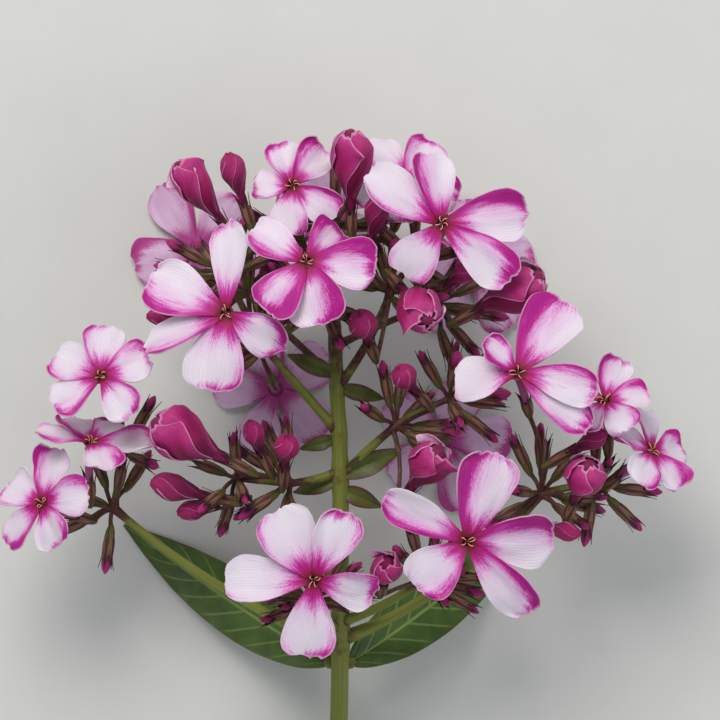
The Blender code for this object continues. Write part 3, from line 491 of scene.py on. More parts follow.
class Growth:
    """A mesh in the making. Its points keep their place (along, across, seed) and tint for the materials."""

    def __init__(self):
        self.whole = bmesh.new()
        self.scratch = bpy.data.meshes.new("scratch")
        self.begin()

    def begin(self):
        """Starts the next part in a small mesh of its own, where the operators are quick."""
        self.shape = bmesh.new()
        self.place = self.shape.verts.layers.float_vector.new("place")
        self.tint = self.shape.verts.layers.float_vector.new("tint")

    def keep(self):
        """Adds the part to the whole piece."""
        self.shape.to_mesh(self.scratch)
        self.shape.free()
        self.whole.from_mesh(self.scratch)
        self.begin()

    def sheet(self, surface, grid, thickness, seed, tint=(0, 0, 0), front=0, back=0, outward=-1):
        """A thin petal, wrap or leaf from a surface of u (0 foot to 1 tip) and v (-1 to 1 across)."""
        across, along = grid
        verts = bmesh.ops.create_grid(self.shape, x_segments=across, y_segments=along, size=1.0)["verts"]
        faces = list({face for vert in verts for face in vert.link_faces})
        for vert in verts:
            x, y = vert.co.x, vert.co.y
            v = 0.5 * outward * (x + math.sin(0.5 * math.pi * x))
            u = 0.5 + 0.25 * (y + math.sin(0.5 * math.pi * y))
            vert[self.place] = (u, v, seed)
            vert[self.tint] = tint
            vert.co = surface(u, v)
        for face in faces:
            face.normal_update()
            face.material_index = front
        for vert in verts:
            vert.normal_update()
        lifted = {vert: vert.co + vert.normal * (thickness / 2) for vert in verts}
        starts = {}
        for vert, point in lifted.items():
            vert.co = point
            starts[vert[self.place].to_tuple()] = point
        for item in bmesh.ops.solidify(self.shape, geom=faces, thickness=thickness)["geom"]:
            if isinstance(item, bmesh.types.BMFace):
                item.material_index = back
        self.hold_back(starts, FARTHEST_STEP * thickness)
        self.keep()

    def hold_back(self, starts, farthest):
        """Shortens the steps that solidify takes too far where a sheet folds sharply."""
        for vert in self.shape.verts:
            start = starts[vert[self.place].to_tuple()]
            step = vert.co - start
            if step.length > farthest:
                vert.co = start + step.normalized() * farthest

    def loft(self, line, radii, sides, material=0, seed=0.0, tints=(0, 0, 0), axes=None, side=None,
             flat=1.0, ribs=0, rib_depth=0.0, rib_turn=0.0):
        """A closed stalk through rings along a line. A rib count raises folds that may turn along it."""
        line = [Vector(point) for point in line]
        count = len(line)
        if axes is None:
            axes = [(line[min(n + 1, count - 1)] - line[max(n - 1, 0)]).normalized() for n in range(count)]
        if side is None:
            side = upright(axes[0])
        if not isinstance(tints, list):
            tints = [tints] * count
        if not isinstance(material, list):
            material = [material] * count
        lengths = [0.0]
        for before, after in zip(line, line[1:]):
            lengths.append(lengths[-1] + (after - before).length)
        ring = bmesh.ops.create_circle(self.shape, cap_ends=False, segments=sides, radius=1.0)["verts"]
        edges = list({edge for vert in ring for edge in vert.link_edges})
        first_edges = edges
        before = Matrix.Identity(4)
        for number, (middle, axis) in enumerate(zip(line, axes)):
            side = (side - axis * side.dot(axis)).normalized()
            place = Matrix((side, axis.cross(side), axis)).transposed().to_4x4()
            place.translation = middle
            if number:
                grown = bmesh.ops.extrude_edge_only(self.shape, edges=edges)["geom"]
                ring = [item for item in grown if isinstance(item, bmesh.types.BMVert)]
                edges = [item for item in grown if isinstance(item, bmesh.types.BMEdge)]
                faces = [item for item in grown if isinstance(item, bmesh.types.BMFace)]
                for face in faces:
                    face.material_index = material[number]
            share = lengths[number] / lengths[-1]
            for vert in ring:
                unit = before @ vert.co
                around = math.atan2(unit.y, unit.x)
                radius = radii[number]
                if ribs:
                    radius *= 1 + rib_depth * math.cos(ribs * (around + math.radians(rib_turn) * share))
                arm = Vector((math.cos(around) * radius, math.sin(around) * radius * flat, 0.0))
                vert[self.place] = (share, around / math.pi, seed)
                vert[self.tint] = tints[number]
                vert.co = place @ arm
            flatten = Matrix.Diagonal((1.0, 1.0 / flat, 1.0, 1.0))
            before = flatten @ place.inverted()
        caps = bmesh.ops.holes_fill(self.shape, edges=first_edges + edges)["faces"]
        for cap in caps:
            cap.material_index = material[-1]
        self.face_outwards(self.shape.faces[:])
        self.keep()

    def face_outwards(self, faces):
        """Turns the faces of a closed form outwards, which its signed volume tells."""
        bmesh.ops.recalc_face_normals(self.shape, faces=faces)
        volume = 0.0
        for face in faces:
            corners = [vert.co for vert in face.verts]
            for second, third in zip(corners[1:], corners[2:]):
                volume += corners[0].dot(second.cross(third))
        if volume < 0:
            bmesh.ops.reverse_faces(self.shape, faces=faces)

    def finish(self, name, materials, node):
        """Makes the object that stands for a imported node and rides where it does."""
        self.shape.free()
        shape = self.whole
        bmesh.ops.translate(shape, vec=OWN_TO_PART, verts=shape.verts[:])
        bmesh.ops.scale(shape, vec=(MM, MM, MM), verts=shape.verts[:])
        shape.normal_update()
        for face in shape.faces:
            face.smooth = True
        for edge in shape.edges:
            edge.smooth = edge.calc_face_angle(0.0) < SHARP_ANGLE
        mesh = bpy.data.meshes.new(name)
        shape.to_mesh(mesh)
        shape.free()
        bpy.data.meshes.remove(self.scratch)
        for material in materials:
            mesh.materials.append(material)
        item = bpy.data.objects.new(name, mesh)
        bpy.context.scene.collection.objects.link(item)
        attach(item, "root")
        if node:
            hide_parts(node)


def facing_axes(azimuth, tilt):
    """A bloom's own axes: across its face, up its face, and out of it."""
    out = direction(azimuth, 90 - tilt)
    across = Vector((1, 0, 0)) - out * out.x
    across.normalize()
    return across, out.cross(across), out


def petal_outline(u):
    """Half width of a petal along its length, as a share of the widest."""
    half = CLAW + (1 - CLAW) * math.sin(0.5 * math.pi * min(u / WIDEST, 1.0) ** 1.15)
    if u > WIDEST:
        half *= 1 - TIP_NARROWING * ((u - WIDEST) / (1 - WIDEST)) ** 2.4
    return half


def petal_surface(bloom, petal, number, thickness, ruffle):
    """The middle surface of one petal, with its fine folds."""
    across, up, out = facing_axes(bloom.azimuth, bloom.tilt)
    angle = math.radians(petal.angle)
    outward = across * math.cos(angle) + up * math.sin(angle)
    sideways = out.cross(outward)
    centre = Vector(bloom.centre)
    rise = math.radians(petal.rise)
    bend = math.radians(petal.bend)
    phase = 2.4 * number + 0.37 * petal.angle
    length = petal.length - THROAT_RADIUS
    skew = petal.width * scatter(phase, -0.05, 0.09)

    def surface(u, v):
        edge = noise.noise(Vector((3.2 * u, math.copysign(2.0, v), phase)))
        tip = noise.noise(Vector((2.6 * v, 5.0, phase)))
        dent = noise.noise(Vector((7.5 * v, 1.0, phase)))
        reach = u - TIP_ROUNDING * abs(v) ** 2.3 * u ** 3
        reach += (0.045 * tip + 0.018 * dent) * u ** 4 * (1 - v ** 4)
        reach += petal.point * u ** 4 * math.exp(-(v / 0.32) ** 2)
        tangent_angle = rise + bend * reach
        if abs(bend) > 0.01:
            run = (math.sin(tangent_angle) - math.sin(rise)) / bend
            lift = (math.cos(rise) - math.cos(tangent_angle)) / bend
        else:
            run = math.cos(rise) * reach
            lift = math.sin(rise) * reach
        spine = centre + outward * (THROAT_RADIUS + length * run) + out * (length * lift)
        blade_out = out * math.cos(tangent_angle) - outward * math.sin(tangent_angle)
        tangent = outward * math.cos(tangent_angle) + out * math.sin(tangent_angle)
        turn = math.radians(PETAL_PITCH * min(1.0, 0.5 + 2.5 * u) + petal.twist * u)
        side = sideways * math.cos(turn) + blade_out * math.sin(turn)
        crown = tangent.cross(side)
        nick = noise.noise(Vector((13.0 * u, math.copysign(3.0, v), phase))) * abs(v) ** 3
        half = 0.5 * petal.width * petal_outline(u) * (1 + (0.09 * edge + 0.03 * nick) * u)
        cup = (petal.left if v > 0 else petal.right) * (0.4 + 0.6 * u)
        bow = cup * abs(v)
        width_share = math.sin(bow) / cup * (1 if v > 0 else -1)
        height = half * (1 - math.cos(bow)) / cup
        away = abs(v) ** 3 * u
        height += EDGE_WAVE * math.sin(7.5 * u + phase + (1.3 if v > 0 else 0.0)) * away
        height += ruffle * math.sin(19 * u + 2 * phase + 2.0 * v) * away * abs(v)
        height += ruffle * 0.8 * math.sin(6.5 * v + phase) * math.sin(math.pi * u)
        height += BILLOW * noise.noise(Vector((2.1 * u, 1.3 * v, phase + 9.0))) * u * (0.35 + v * v)
        height -= MIDRIB_DEPTH * math.exp(-(v / 0.1) ** 2) * math.sin(math.pi * min(1.0, 1.2 * u)) ** 2
        point = spine + side * (half * width_share + skew * u * u) + crown * height
        point.z = max(point.z, thickness / 2 + FLOOR_GAP)
        return point

    return surface


# Where each cyme is, and which way it grows
CYMES = {"top": Vector(STEM_LINE[-1][:3])}
LEADS = {"top": Vector((0, 1, 0))}
for cyme_name, (foot_radius, *passed) in BRANCHES.items():
    CYMES[cyme_name] = Vector(passed[-1])
    LEADS[cyme_name] = (CYMES[cyme_name] - Vector(passed[-2])).normalized()


def petal_blush(bloom, number, seed):
    """How strongly a petal blushes at its left margin, at its right margin and at its tip."""
    if bloom.name in BLUSHES:
        return BLUSHES[bloom.name][number]
    return (scatter(seed + number, 0.4, 0.95), scatter(seed * 1.7 + number, 0.05, 0.35),
            scatter(seed * 2.3 + number, 0.2, 0.75))


def bloom_seat(bloom):
    """The middle of the calyx's mouth and the calyx's direction under a bloom."""
    out = facing_axes(bloom.azimuth, bloom.tilt)[2]
    centre = Vector(bloom.centre)
    axis = mixed(out, (centre - CYMES[bloom.cyme]).normalized(), 0.35)
    return centre - mixed(out, axis, 0.5) * bloom.tube, axis


def bud_seat(bud):
    """Where a bud's neck leaves its calyx, and the bud's direction."""
    axis = direction(bud.azimuth, bud.rise)
    return Vector(bud.middle) - axis * (bud.length / 2 + bud.neck), axis


def bloom_tube(growth, bloom, seed):
    """The corolla tube: up its outside, over the lip and down into the throat."""
    out = facing_axes(bloom.azimuth, bloom.tilt)[2]
    centre = Vector(bloom.centre)
    mouth, axis = bloom_seat(bloom)
    foot = mouth + axis * SEAT_GAP
    shaft = smooth_line((foot, (centre - out * 5.5).lerp(foot + axis * 3.0, 0.5), centre - out * 2.4), 5)
    line = shaft + [centre - out * 1.2, centre - out * 0.55, centre - out * 0.22]
    radii = [TUBE_FOOT_RADIUS + 0.15 * step / (len(shaft) - 1) for step in range(len(shaft))]
    radii += [1.12, 1.4, 1.72]
    axes = [(line[min(n + 1, len(line) - 1)] - line[max(n - 1, 0)]).normalized() for n in range(len(line))]
    inside = ((-0.1, 1.66), (-0.06, 1.3), (-0.22, 1.08), (-0.6, 0.86), (-1.1, 0.7))
    line += [centre + out * height for height, radius in inside]
    radii += [radius for height, radius in inside]
    axes += [out] * len(inside)
    material = [TUBE] * (len(line) - 4) + [THROAT] * 4
    growth.loft(line, radii, TUBE_SIDES, material, seed, axes=axes)


def stamens(growth, bloom, seed):
    """Anthers that curl out of the mouth of the tube on short filaments, and a style."""
    across, up, out = facing_axes(bloom.azimuth, bloom.tilt)
    centre = Vector(bloom.centre)
    for number in range(PARTS):
        turn = math.radians(scatter(seed + number, -16, 16) + FIFTH * number)
        arm = across * math.cos(turn) + up * math.sin(turn)
        over = out.cross(arm) * (1 if scatter(seed * 1.3 + number) > 0.5 else -1)
        top = scatter(seed + 1.9 * number, 0.05, 0.75)
        knee = centre + arm * 0.5 + out * (top - 0.25)
        filament = bezier((centre + arm * 0.5 - out * 1.0, centre + arm * 0.42 - out * 0.4, knee), 4)
        growth.loft(filament, [FILAMENT_RADIUS] * 5, FILAMENT_SIDES, FILAMENT, seed)
        end = centre + arm * scatter(seed * 0.7 + number, 0.9, 1.7)
        end += over * scatter(seed + 2.3 * number, 0.4, 1.0)
        end += out * (top + 0.2)
        anther = (knee - arm * 0.1, knee + arm * 0.1 + out * 0.6, end - over * 0.5 + out * 0.25, end)
        growth.loft(bezier(anther, 8), ANTHER_RADII, STALK_SIDES, ANTHER, seed)
    style = bezier((centre - out * 1.0, centre - out * 0.4 + across * 0.1, centre + out * 0.4 + up * 0.1), 5)
    growth.loft(style, [FILAMENT_RADIUS] * 4 + [0.1, 0.04], STALK_SIDES, FILAMENT, seed)


def bud_wrap(bud, profile, number, top, winding, flare):
    """The outside of one petal that is wound round a bud. Its lip and its tip may stand off."""
    foot, axis = bud_seat(bud)
    neck_end = foot + axis * bud.neck
    side = upright(axis)
    rise = axis.cross(side)
    shares = [point.x for point in profile]
    widths = [point.y for point in profile]
    full = 0.5 * bud.width
    lip = winding.lip

    def girth(share):
        share = min(max(share, shares[0]), shares[-1])
        for low, high, first, second in zip(shares, shares[1:], widths, widths[1:]):
            if share <= high:
                return first + (second - first) * (share - low) / max(high - low, 1e-6)
        return widths[-1]

    def surface(u, v):
        w = 0.5 * (v + 1)
        share = WRAP_START + (top - WRAP_START) * u * (1 - (0.08 + 1.6 * lip) * abs(v) ** 3 * u * u)
        share += 0.012 * math.sin(9 * v + 2.1 * number) * u * u
        spread = winding.overlap * (w - 0.5) * (1 - 3.2 * lip * u ** 6)
        around = math.radians(FIFTH * number + winding.twirl * u + spread)
        radius = full * girth(share) * (1 - winding.depth * (1 - w) - 0.03 * scatter(number))
        curl = lip * eased(0.72, 1.0, w) * eased(0.2, 0.9, u)
        radius += full * curl * (1 + 0.3 * math.sin(13 * u + number))
        radius += full * flare * eased(0.66, 1.0, u) ** 2 * (0.25 + 0.75 * eased(0.2, 0.9, w))
        crease = noise.noise(Vector((2.6 * u, 5.0 * w, 3.0 * number + bud.length)))
        crinkle = noise.noise(Vector((7.0 * u, 15.0 * w, 3.0 * number + bud.width)))
        radius += bud.width * (0.07 * crease + 0.02 * crinkle) * u
        arm = side * math.cos(around) + rise * math.sin(around)
        return neck_end + axis * (bud.length * share) + arm * radius

    return surface


def bud_core(growth, bud, profile, seed):
    """The neck and the inner body of a bud, with twisted folds."""
    foot, axis = bud_seat(bud)
    neck_end = foot + axis * bud.neck
    line = [foot + axis * SEAT_GAP, foot + axis * (0.5 * (bud.neck + SEAT_GAP))]
    radii = [TUBE_FOOT_RADIUS, 0.5 * (TUBE_FOOT_RADIUS + 0.5 * bud.width * profile[0].y)]
    for point in profile:
        line.append(neck_end + axis * (bud.length * point.x))
        slim = 1 if point.x < 0.08 else 0.88 - 0.34 * eased(0.55, 1.0, point.x)
        radii.append(0.5 * bud.width * point.y * slim)
    growth.loft(line, radii, TUBE_SIDES, CORE, seed, ribs=3, rib_depth=0.05, rib_turn=160)


def make_buds(buds, settings, rolled):
    """The buds of one kind. A wrap's tint says whether its bud opens, and that its margin is free."""
    profile = smooth_line(ROLLED_PROFILE if rolled else CLOSED_PROFILE, 4)
    winding = ROLLED_WINDING if rolled else CLOSED_WINDING
    materials = bud_materials(settings, rolled)
    tint = (0.0, 1.0 if rolled else 0.0, 1.0)
    thickness = settings.wrap_thickness / MM
    for number, bud in enumerate(buds):
        growth = Growth()
        seed = 3.1 * number + (40 if rolled else 0)
        bud_core(growth, bud, profile, seed)
        for wrap in range(PARTS):
            top, flare = CLOSED_TOP, 0.0
            if rolled:
                top = scatter(seed + wrap, 0.94, 1.0)
                flare = max(0.0, scatter(seed * 1.9 + wrap, -0.5, 0.42))
            surface = bud_wrap(bud, profile, wrap, top, winding, flare)
            growth.sheet(surface, WRAP_GRID, thickness, seed + wrap, tint, WRAP, WRAP_INSIDE, 1)
        growth.finish(bud.name + "_wraps", materials, bud.name)


def sepal_surface(mouth, axis, side, turn, awn, lean):
    """One sepal from where it leaves the calyx's wall, through a tooth, to the end of its awn."""
    rise = axis.cross(side)

    def surface(u, v):
        height = SEPAL_START + (awn - SEPAL_START) * u
        half = 0.8 * max(0.0, 1 - u / 0.86) ** 0.7 + 0.13 * math.sqrt(max(0.0, 1 - u)) + 0.03
        radius = 1.08 + 0.14 * eased(SEPAL_START, -2.4, height) - 0.05 * eased(-1.5, 0.3, height)
        radius += 0.1 * max(height, 0.0) ** 1.4 * (1 + 0.6 * lean) + 0.07 * (1 - v * v) * (1 - u)
        around = math.radians(turn) + half * v / radius + 0.5 * lean * u ** 3
        return mouth + axis * height + (side * math.cos(around) + rise * math.sin(around)) * radius

    return surface


def calyx(growth, mouth, axis, seed, awn, grid=SEPAL_GRID):
    """Five joined sepals with a raised rib each, hollow at the mouth, and their free teeth with awns."""
    foot = mouth - axis * CALYX_LENGTH
    side = upright(axis)
    line = [foot + axis * height for height, radius in CALYX_WIDTHS]
    radii = [radius for height, radius in CALYX_WIDTHS]
    tints = [(0.0, eased(0, CALYX_LENGTH, height), 0.0) for height, radius in CALYX_WIDTHS]
    growth.loft(line, radii, TUBE_SIDES, CALYX, seed, tints, axes=[axis] * len(line), side=side,
                ribs=PARTS, rib_depth=0.09)
    for number in range(PARTS):
        length = awn * scatter(seed * 1.7 + number, 0.85, 1.3)
        surface = sepal_surface(mouth, axis, side, FIFTH * number, length, scatter(seed + number, -1.0, 1.0))
        growth.sheet(surface, grid, SEPAL_THICKNESS, seed + number, (1.0, 1.0, 0.0), CALYX, CALYX, 1)


def small_bud(growth, mouth, axis, size, seed):
    """A closed bud that just shows above its calyx."""
    radius = 0.3 * size
    neck = min(radius, 0.88)
    rings = ((-1.0, neck), (-0.1, neck), (0.22 * size, 0.97 * radius), (0.42 * size, radius),
             (0.62 * size, 0.9 * radius), (0.8 * size, 0.7 * radius), (0.95 * size, 0.42 * radius),
             (1.06 * size, 0.14 * radius))
    line = [mouth + axis * height for height, width in rings]
    radii = [width for height, width in rings]
    growth.loft(line, radii, SMALL_BUD_SIDES, SMALL_BUD, seed, axes=[axis] * len(line),
                ribs=PARTS, rib_depth=0.07, rib_turn=75)


def pedicel(growth, cyme, mouth, axis, seed):
    """The stalk of one flower, that arches from its cyme into the foot of its calyx."""
    start = CYMES[cyme] - axis * 0.4
    end = mouth - axis * (CALYX_LENGTH - 0.3)
    along = (end - start).normalized()
    arch = LEADS[cyme] - along * LEADS[cyme].dot(along)
    fine = bezier((start, start.lerp(end, 0.5) + arch * (STALK_ARCH * (end - start).length), end), 6)
    growth.loft(fine, STALK_RADII, STALK_SIDES, SKIN, seed, (0.75, 0, 0))


def budding_stalk(growth, cyme, mouth, axis, size, seed, awn, grid):
    """A stalk with its calyx and the small bud in it."""
    pedicel(growth, cyme, mouth, axis, seed)
    calyx(growth, mouth, axis, seed, awn, grid)
    small_bud(growth, mouth, axis, size, seed)


def apart(first, second, third, fourth):
    """About how near two straight stalks come to each other."""
    samples = [(first.lerp(second, a / 5), third.lerp(fourth, b / 5)) for a in range(6) for b in range(6)]
    return min((one - other).length for one, other in samples)


def near_a_face(faces, points):
    """Whether one of the points is in the room that is kept round a bloom's face."""
    for centre, out in faces:
        for point in points:
            height = (point - centre).dot(out)
            level = (point - centre - out * height).length
            if level < FACE_REACH and FACE_ROOM[0] < height < FACE_ROOM[1]:
                return True
    return False


def young_stalks():
    """Places for more young buds round each cyme, where neither a stalk nor a petal is in the way."""
    taken = []
    for bloom in BLOOMS:
        mouth = bloom_seat(bloom)[0]
        taken.append((CYMES[bloom.cyme].lerp(mouth, 0.35), Vector(bloom.centre)))
    for bud in ROLLED_BUDS + CLOSED_BUDS:
        foot, axis = bud_seat(bud)
        taken.append((CYMES[bud.cyme].lerp(foot, 0.35), Vector(bud.middle) + axis * (0.5 * bud.length)))
    for cyme, azimuth, rise, reach, size in SMALL_BUDS:
        axis = direction(azimuth, rise)
        taken.append((CYMES[cyme] + axis * reach, CYMES[cyme] + axis * (reach + CALYX_LENGTH + size)))
    faces = [(Vector(bloom.centre), facing_axes(bloom.azimuth, bloom.tilt)[2]) for bloom in BLOOMS]
    found = []
    for order, (cyme, knot) in enumerate(CYMES.items()):
        for number in range(YOUNG_TRIES):
            seed = 7.3 * order + number
            axis = direction(GOLDEN_ANGLE * number + 40 * order, scatter(seed, *YOUNG_RISE))
            reach = scatter(seed * 1.9, *YOUNG_STALK)
            size = scatter(seed * 2.7, *YOUNG_SIZE)
            mouth = knot + axis * (reach + CALYX_LENGTH)
            end = mouth + axis * (size + 2.0)
            if not LOWEST_YOUNG <= end.z <= HIGHEST_YOUNG or mouth.y < FARTHEST_DOWN:
                continue
            if axis.dot(LEADS[cyme]) < INWARD_LIMIT:
                continue
            if min(apart(knot + axis * reach, end, low, high) for low, high in taken) < STALK_CLEARANCE:
                continue
            if not near_a_face(faces, (mouth, end, knot.lerp(mouth, 0.5))):
                taken.append((knot + axis * reach, end))
                found.append((cyme, mouth, axis, size, seed))
    return found


def darkness(point, at_forks):
    """How dark and purple the skin is: at the forks, at the cymes and towards the top."""
    near = min((point - fork).length for fork in FORKS)
    cyme = min((point - knot).length for knot in CYMES.values())
    dark = math.exp(-(near / FORK_REACH) ** 2) * at_forks
    dark = max(dark, math.exp(-(cyme / CYME_REACH) ** 2) * CYME_DARKNESS)
    return max(dark, TOP_DARKNESS * eased(-10, 3, point.y), 0.0)


def branch(growth, radius, points, seed):
    """A branch, swollen at its foot and at the cyme that it ends in."""
    line = bezier(points, 14)
    line.append(line[-1] + (line[-1] - line[-2]).normalized() * 0.8)
    radii = [radius * (1 - 0.3 * n / 14) * (1 + 0.35 * math.exp(-(n / 1.6) ** 2)) for n in range(15)]
    radii[-1] *= 1.3
    radii.append(0.45)
    tints = [(darkness(point, BRANCH_FORK_DARKNESS), 0, 0) for point in line]
    growth.loft(line, radii, BRANCH_SIDES, SKIN, seed, tints, ribs=4, rib_depth=0.03)


def main_stem(growth):
    """The main stem, swollen at its forks, with its cut end."""
    fine = smooth_line(STEM_LINE, 10)
    line = [point.to_3d() for point in fine] + [Vector(STEM_LINE[-1][:3]) + Vector((0, 0.9, 0))]
    radii = [point.w for point in fine] + [0.6]
    for number, point in enumerate(line):
        near = min((point - fork).length for fork in FORKS)
        radii[number] *= 1 + 0.16 * math.exp(-(near / 2.4) ** 2)
        radii[number] = min(radii[number], max(point.z - FLOOR_GAP, 0.3))
    tints = [(darkness(point, STEM_FORK_DARKNESS), 0, 0) for point in line]
    growth.loft(line, radii, STEM_SIDES, SKIN, 0.0, tints, ribs=4, rib_depth=0.025)
    cut = [line[0] + Vector((0, CUT_DEPTH, 0)), line[0] - Vector((0, CUT_STEP, 0))]
    growth.loft(cut, [radii[0] * CUT_SHARE] * 2, STEM_SIDES, CUT)


def leaf_cushion(growth, leaf):
    """The swelling of the stem that a leaf sits on."""
    foot = Vector(leaf.foot)
    out = direction(leaf.azimuth, 0)
    start = Vector((foot.x - 0.9 * out.x / abs(out.x), foot.y, foot.z)) - out
    line = (start, foot - out * 0.3, foot + out * 0.9)
    growth.loft(line, CUSHION_RADII, BRANCH_SIDES, SKIN, 3.0, (0.45, 0, 0), side=Vector((0, 1, 0)), flat=0.45)


def bract_surface(foot, azimuth, rise, length, width, grain):
    """A narrow pointed blade that arches outward."""
    outward = direction(azimuth, 0)
    sideways = Vector((0, 0, 1)).cross(outward)

    def surface(u, v):
        angle = math.radians(rise) - math.radians(34) * u
        spine = Vector(foot) + outward * (length * u) + Vector((0, 0, 1)) * (length * u * math.sin(angle))
        half = 0.5 * width * max(0.06, math.sin(math.pi * min(0.985, u ** 0.85 * 0.95 + 0.05)) ** 0.8)
        height = 0.3 * half * abs(v) - 0.12 * math.exp(-(v / 0.14) ** 2)
        height += 0.18 * math.sin(11 * u + grain) * v * abs(v)
        return spine + sideways * (v * half) + Vector((0, 0, height))

    return surface


def leaf_surface(leaf, thickness, vein_depth):
    """A lance-shaped leaf that droops from the stem, with sunken veins."""
    outward = direction(leaf.azimuth, 0)
    sideways = Vector((0, 0, 1)).cross(outward)
    foot = Vector(leaf.foot)

    def surface(u, v):
        fall = math.exp(-((u * leaf.length / leaf.drop) ** 2) * 2.2)
        height = foot.z * fall + 2.2 * math.sin(math.pi * min(1.0, 1.1 * u)) ** 2 * (1 - fall)
        half = 0.5 * leaf.width * max(0.03, math.sin(math.pi * min(0.995, u ** 0.8 * 0.96 + 0.04)) ** 0.85)
        fold = 0.16 * half * abs(v) * (1 - 0.5 * u)
        wave = 0.5 * math.sin(9 * u + leaf.azimuth) * v * abs(v) * min(1.0, 3 * u)
        wave += 0.22 * math.sin(31 * u + 3 * leaf.azimuth + v) * abs(v) ** 4
        rib = math.exp(-(v * half / 0.55) ** 2) * 1.4
        side_vein = (9.0 * u - 1.5 * abs(v)) % 1.0
        rib += math.exp(-((side_vein - 0.5) / 0.13) ** 2) * (1 - abs(v) ** 3) * eased(0.03, 0.2, abs(v))
        rise = max(height + fold + wave - 0.25, thickness / 2 + vein_depth * 1.6) - vein_depth * rib
        point = Vector((foot.x, foot.y, 0)) + outward * (leaf.length * u) + sideways * (v * half)
        point += sideways * (5.0 * u * u * math.cos(math.radians(leaf.azimuth)))
        point.z = max(rise, thickness / 2 + FLOOR_GAP)
        return point

    return surface


def linear(code):
    """A colour's linear red, green and blue from its six-figure code."""
    parts = [int(code[place:place + 2], 16) / 255 for place in (0, 2, 4)]
    return tuple(part / 12.92 if part <= 0.04045 else ((part + 0.055) / 1.055) ** 2.4 for part in parts)


class Nodes:
    """Adds nodes to a material's or a group's tree and joins them up."""

    def __init__(self, tree):
        self.tree = tree

    def add(self, kind, **settings):
        node = self.tree.nodes.new(kind)
        for name, value in settings.items():
            setattr(node, name, value)
        return node

    def feed(self, socket, value):
        """Joins a socket to another one, or sets its value, which may be a colour's six-figure code."""
        if isinstance(value, str):
            value = linear(value)
        if isinstance(value, bpy.types.NodeSocket):
            self.tree.links.new(value, socket)
        elif hasattr(value, "__len__") and len(value) == 3 and len(socket.default_value) == 4:
            socket.default_value = (*value, 1.0)
        else:
            socket.default_value = value

    def maths(self, operation, *values, clamp=False):
        node = self.add("ShaderNodeMath", operation=operation, use_clamp=clamp)
        for socket, value in zip(node.inputs, values):
            self.feed(socket, value)
        return node.outputs[0]

    def times(self, *values, clamp=False):
        return self.maths("MULTIPLY", *values, clamp=clamp)

    def plus(self, *values):
        return self.maths("ADD", *values)

    def minus(self, *values, clamp=False):
        return self.maths("SUBTRACT", *values, clamp=clamp)

    def times_plus(self, *values, clamp=False):
        """The first value times the second, plus the third."""
        return self.maths("MULTIPLY_ADD", *values, clamp=clamp)

    def step(self, value, low, high, start=0.0, end=1.0):
        """From start to end while a value goes from low to high, softly."""
        node = self.add("ShaderNodeMapRange", interpolation_type="SMOOTHSTEP")
        for socket, item in zip(node.inputs, (value, low, high, start, end)):
            self.feed(socket, item)
        return node.outputs[0]

    def mix(self, share, first, second):
        node = self.add("ShaderNodeMix", data_type="RGBA")
        self.feed(node.inputs[0], share)
        self.feed(node.inputs[6], first)
        self.feed(node.inputs[7], second)
        return node.outputs[2]

    def split(self, vector):
        node = self.add("ShaderNodeSeparateXYZ")
        self.feed(node.inputs[0], vector)
        return node.outputs[0], node.outputs[1], node.outputs[2]

    def join(self, *values):
        node = self.add("ShaderNodeCombineXYZ")
        for socket, value in zip(node.inputs, values):
            self.feed(socket, value)
        return node.outputs[0]

    def attribute(self, name):
        return self.add("ShaderNodeAttribute", attribute_name=name).outputs["Vector"]

    def within(self):
        """Where a point is in its piece, in metres."""
        return self.add("ShaderNodeTexCoord").outputs["Object"]

    def grain(self, vector, scale, detail=2.0, rough=0.5):
        """Noise between 0 and 1."""
        node = self.add("ShaderNodeTexNoise")
        self.feed(node.inputs["Vector"], vector)
        self.feed(node.inputs["Scale"], scale)
        self.feed(node.inputs["Detail"], detail)
        self.feed(node.inputs["Roughness"], rough)
        return node.outputs["Fac"]

    def bump(self, height, strength, distance):
        node = self.add("ShaderNodeBump")
        self.feed(node.inputs["Strength"], strength)
        self.feed(node.inputs["Distance"], distance)
        self.feed(node.inputs["Height"], height)
        return node.outputs["Normal"]

    def group(self, tree, **values):
        node = self.add("ShaderNodeGroup", node_tree=tree)
        for name, value in values.items():
            self.feed(node.inputs[name], value)
        return node.outputs


def node_group(name, inputs, outputs):
    """An empty shader group with named sockets: its tree's nodes, its inputs and its output node."""
    tree = bpy.data.node_groups.new(name, "ShaderNodeTree")
    for label, kind in inputs:
        tree.interface.new_socket(label, in_out="INPUT", socket_type=kind)
    for label, kind in outputs:
        tree.interface.new_socket(label, in_out="OUTPUT", socket_type=kind)
    nodes = Nodes(tree)
    return nodes, nodes.add("NodeGroupInput").outputs, nodes.add("NodeGroupOutput").inputs


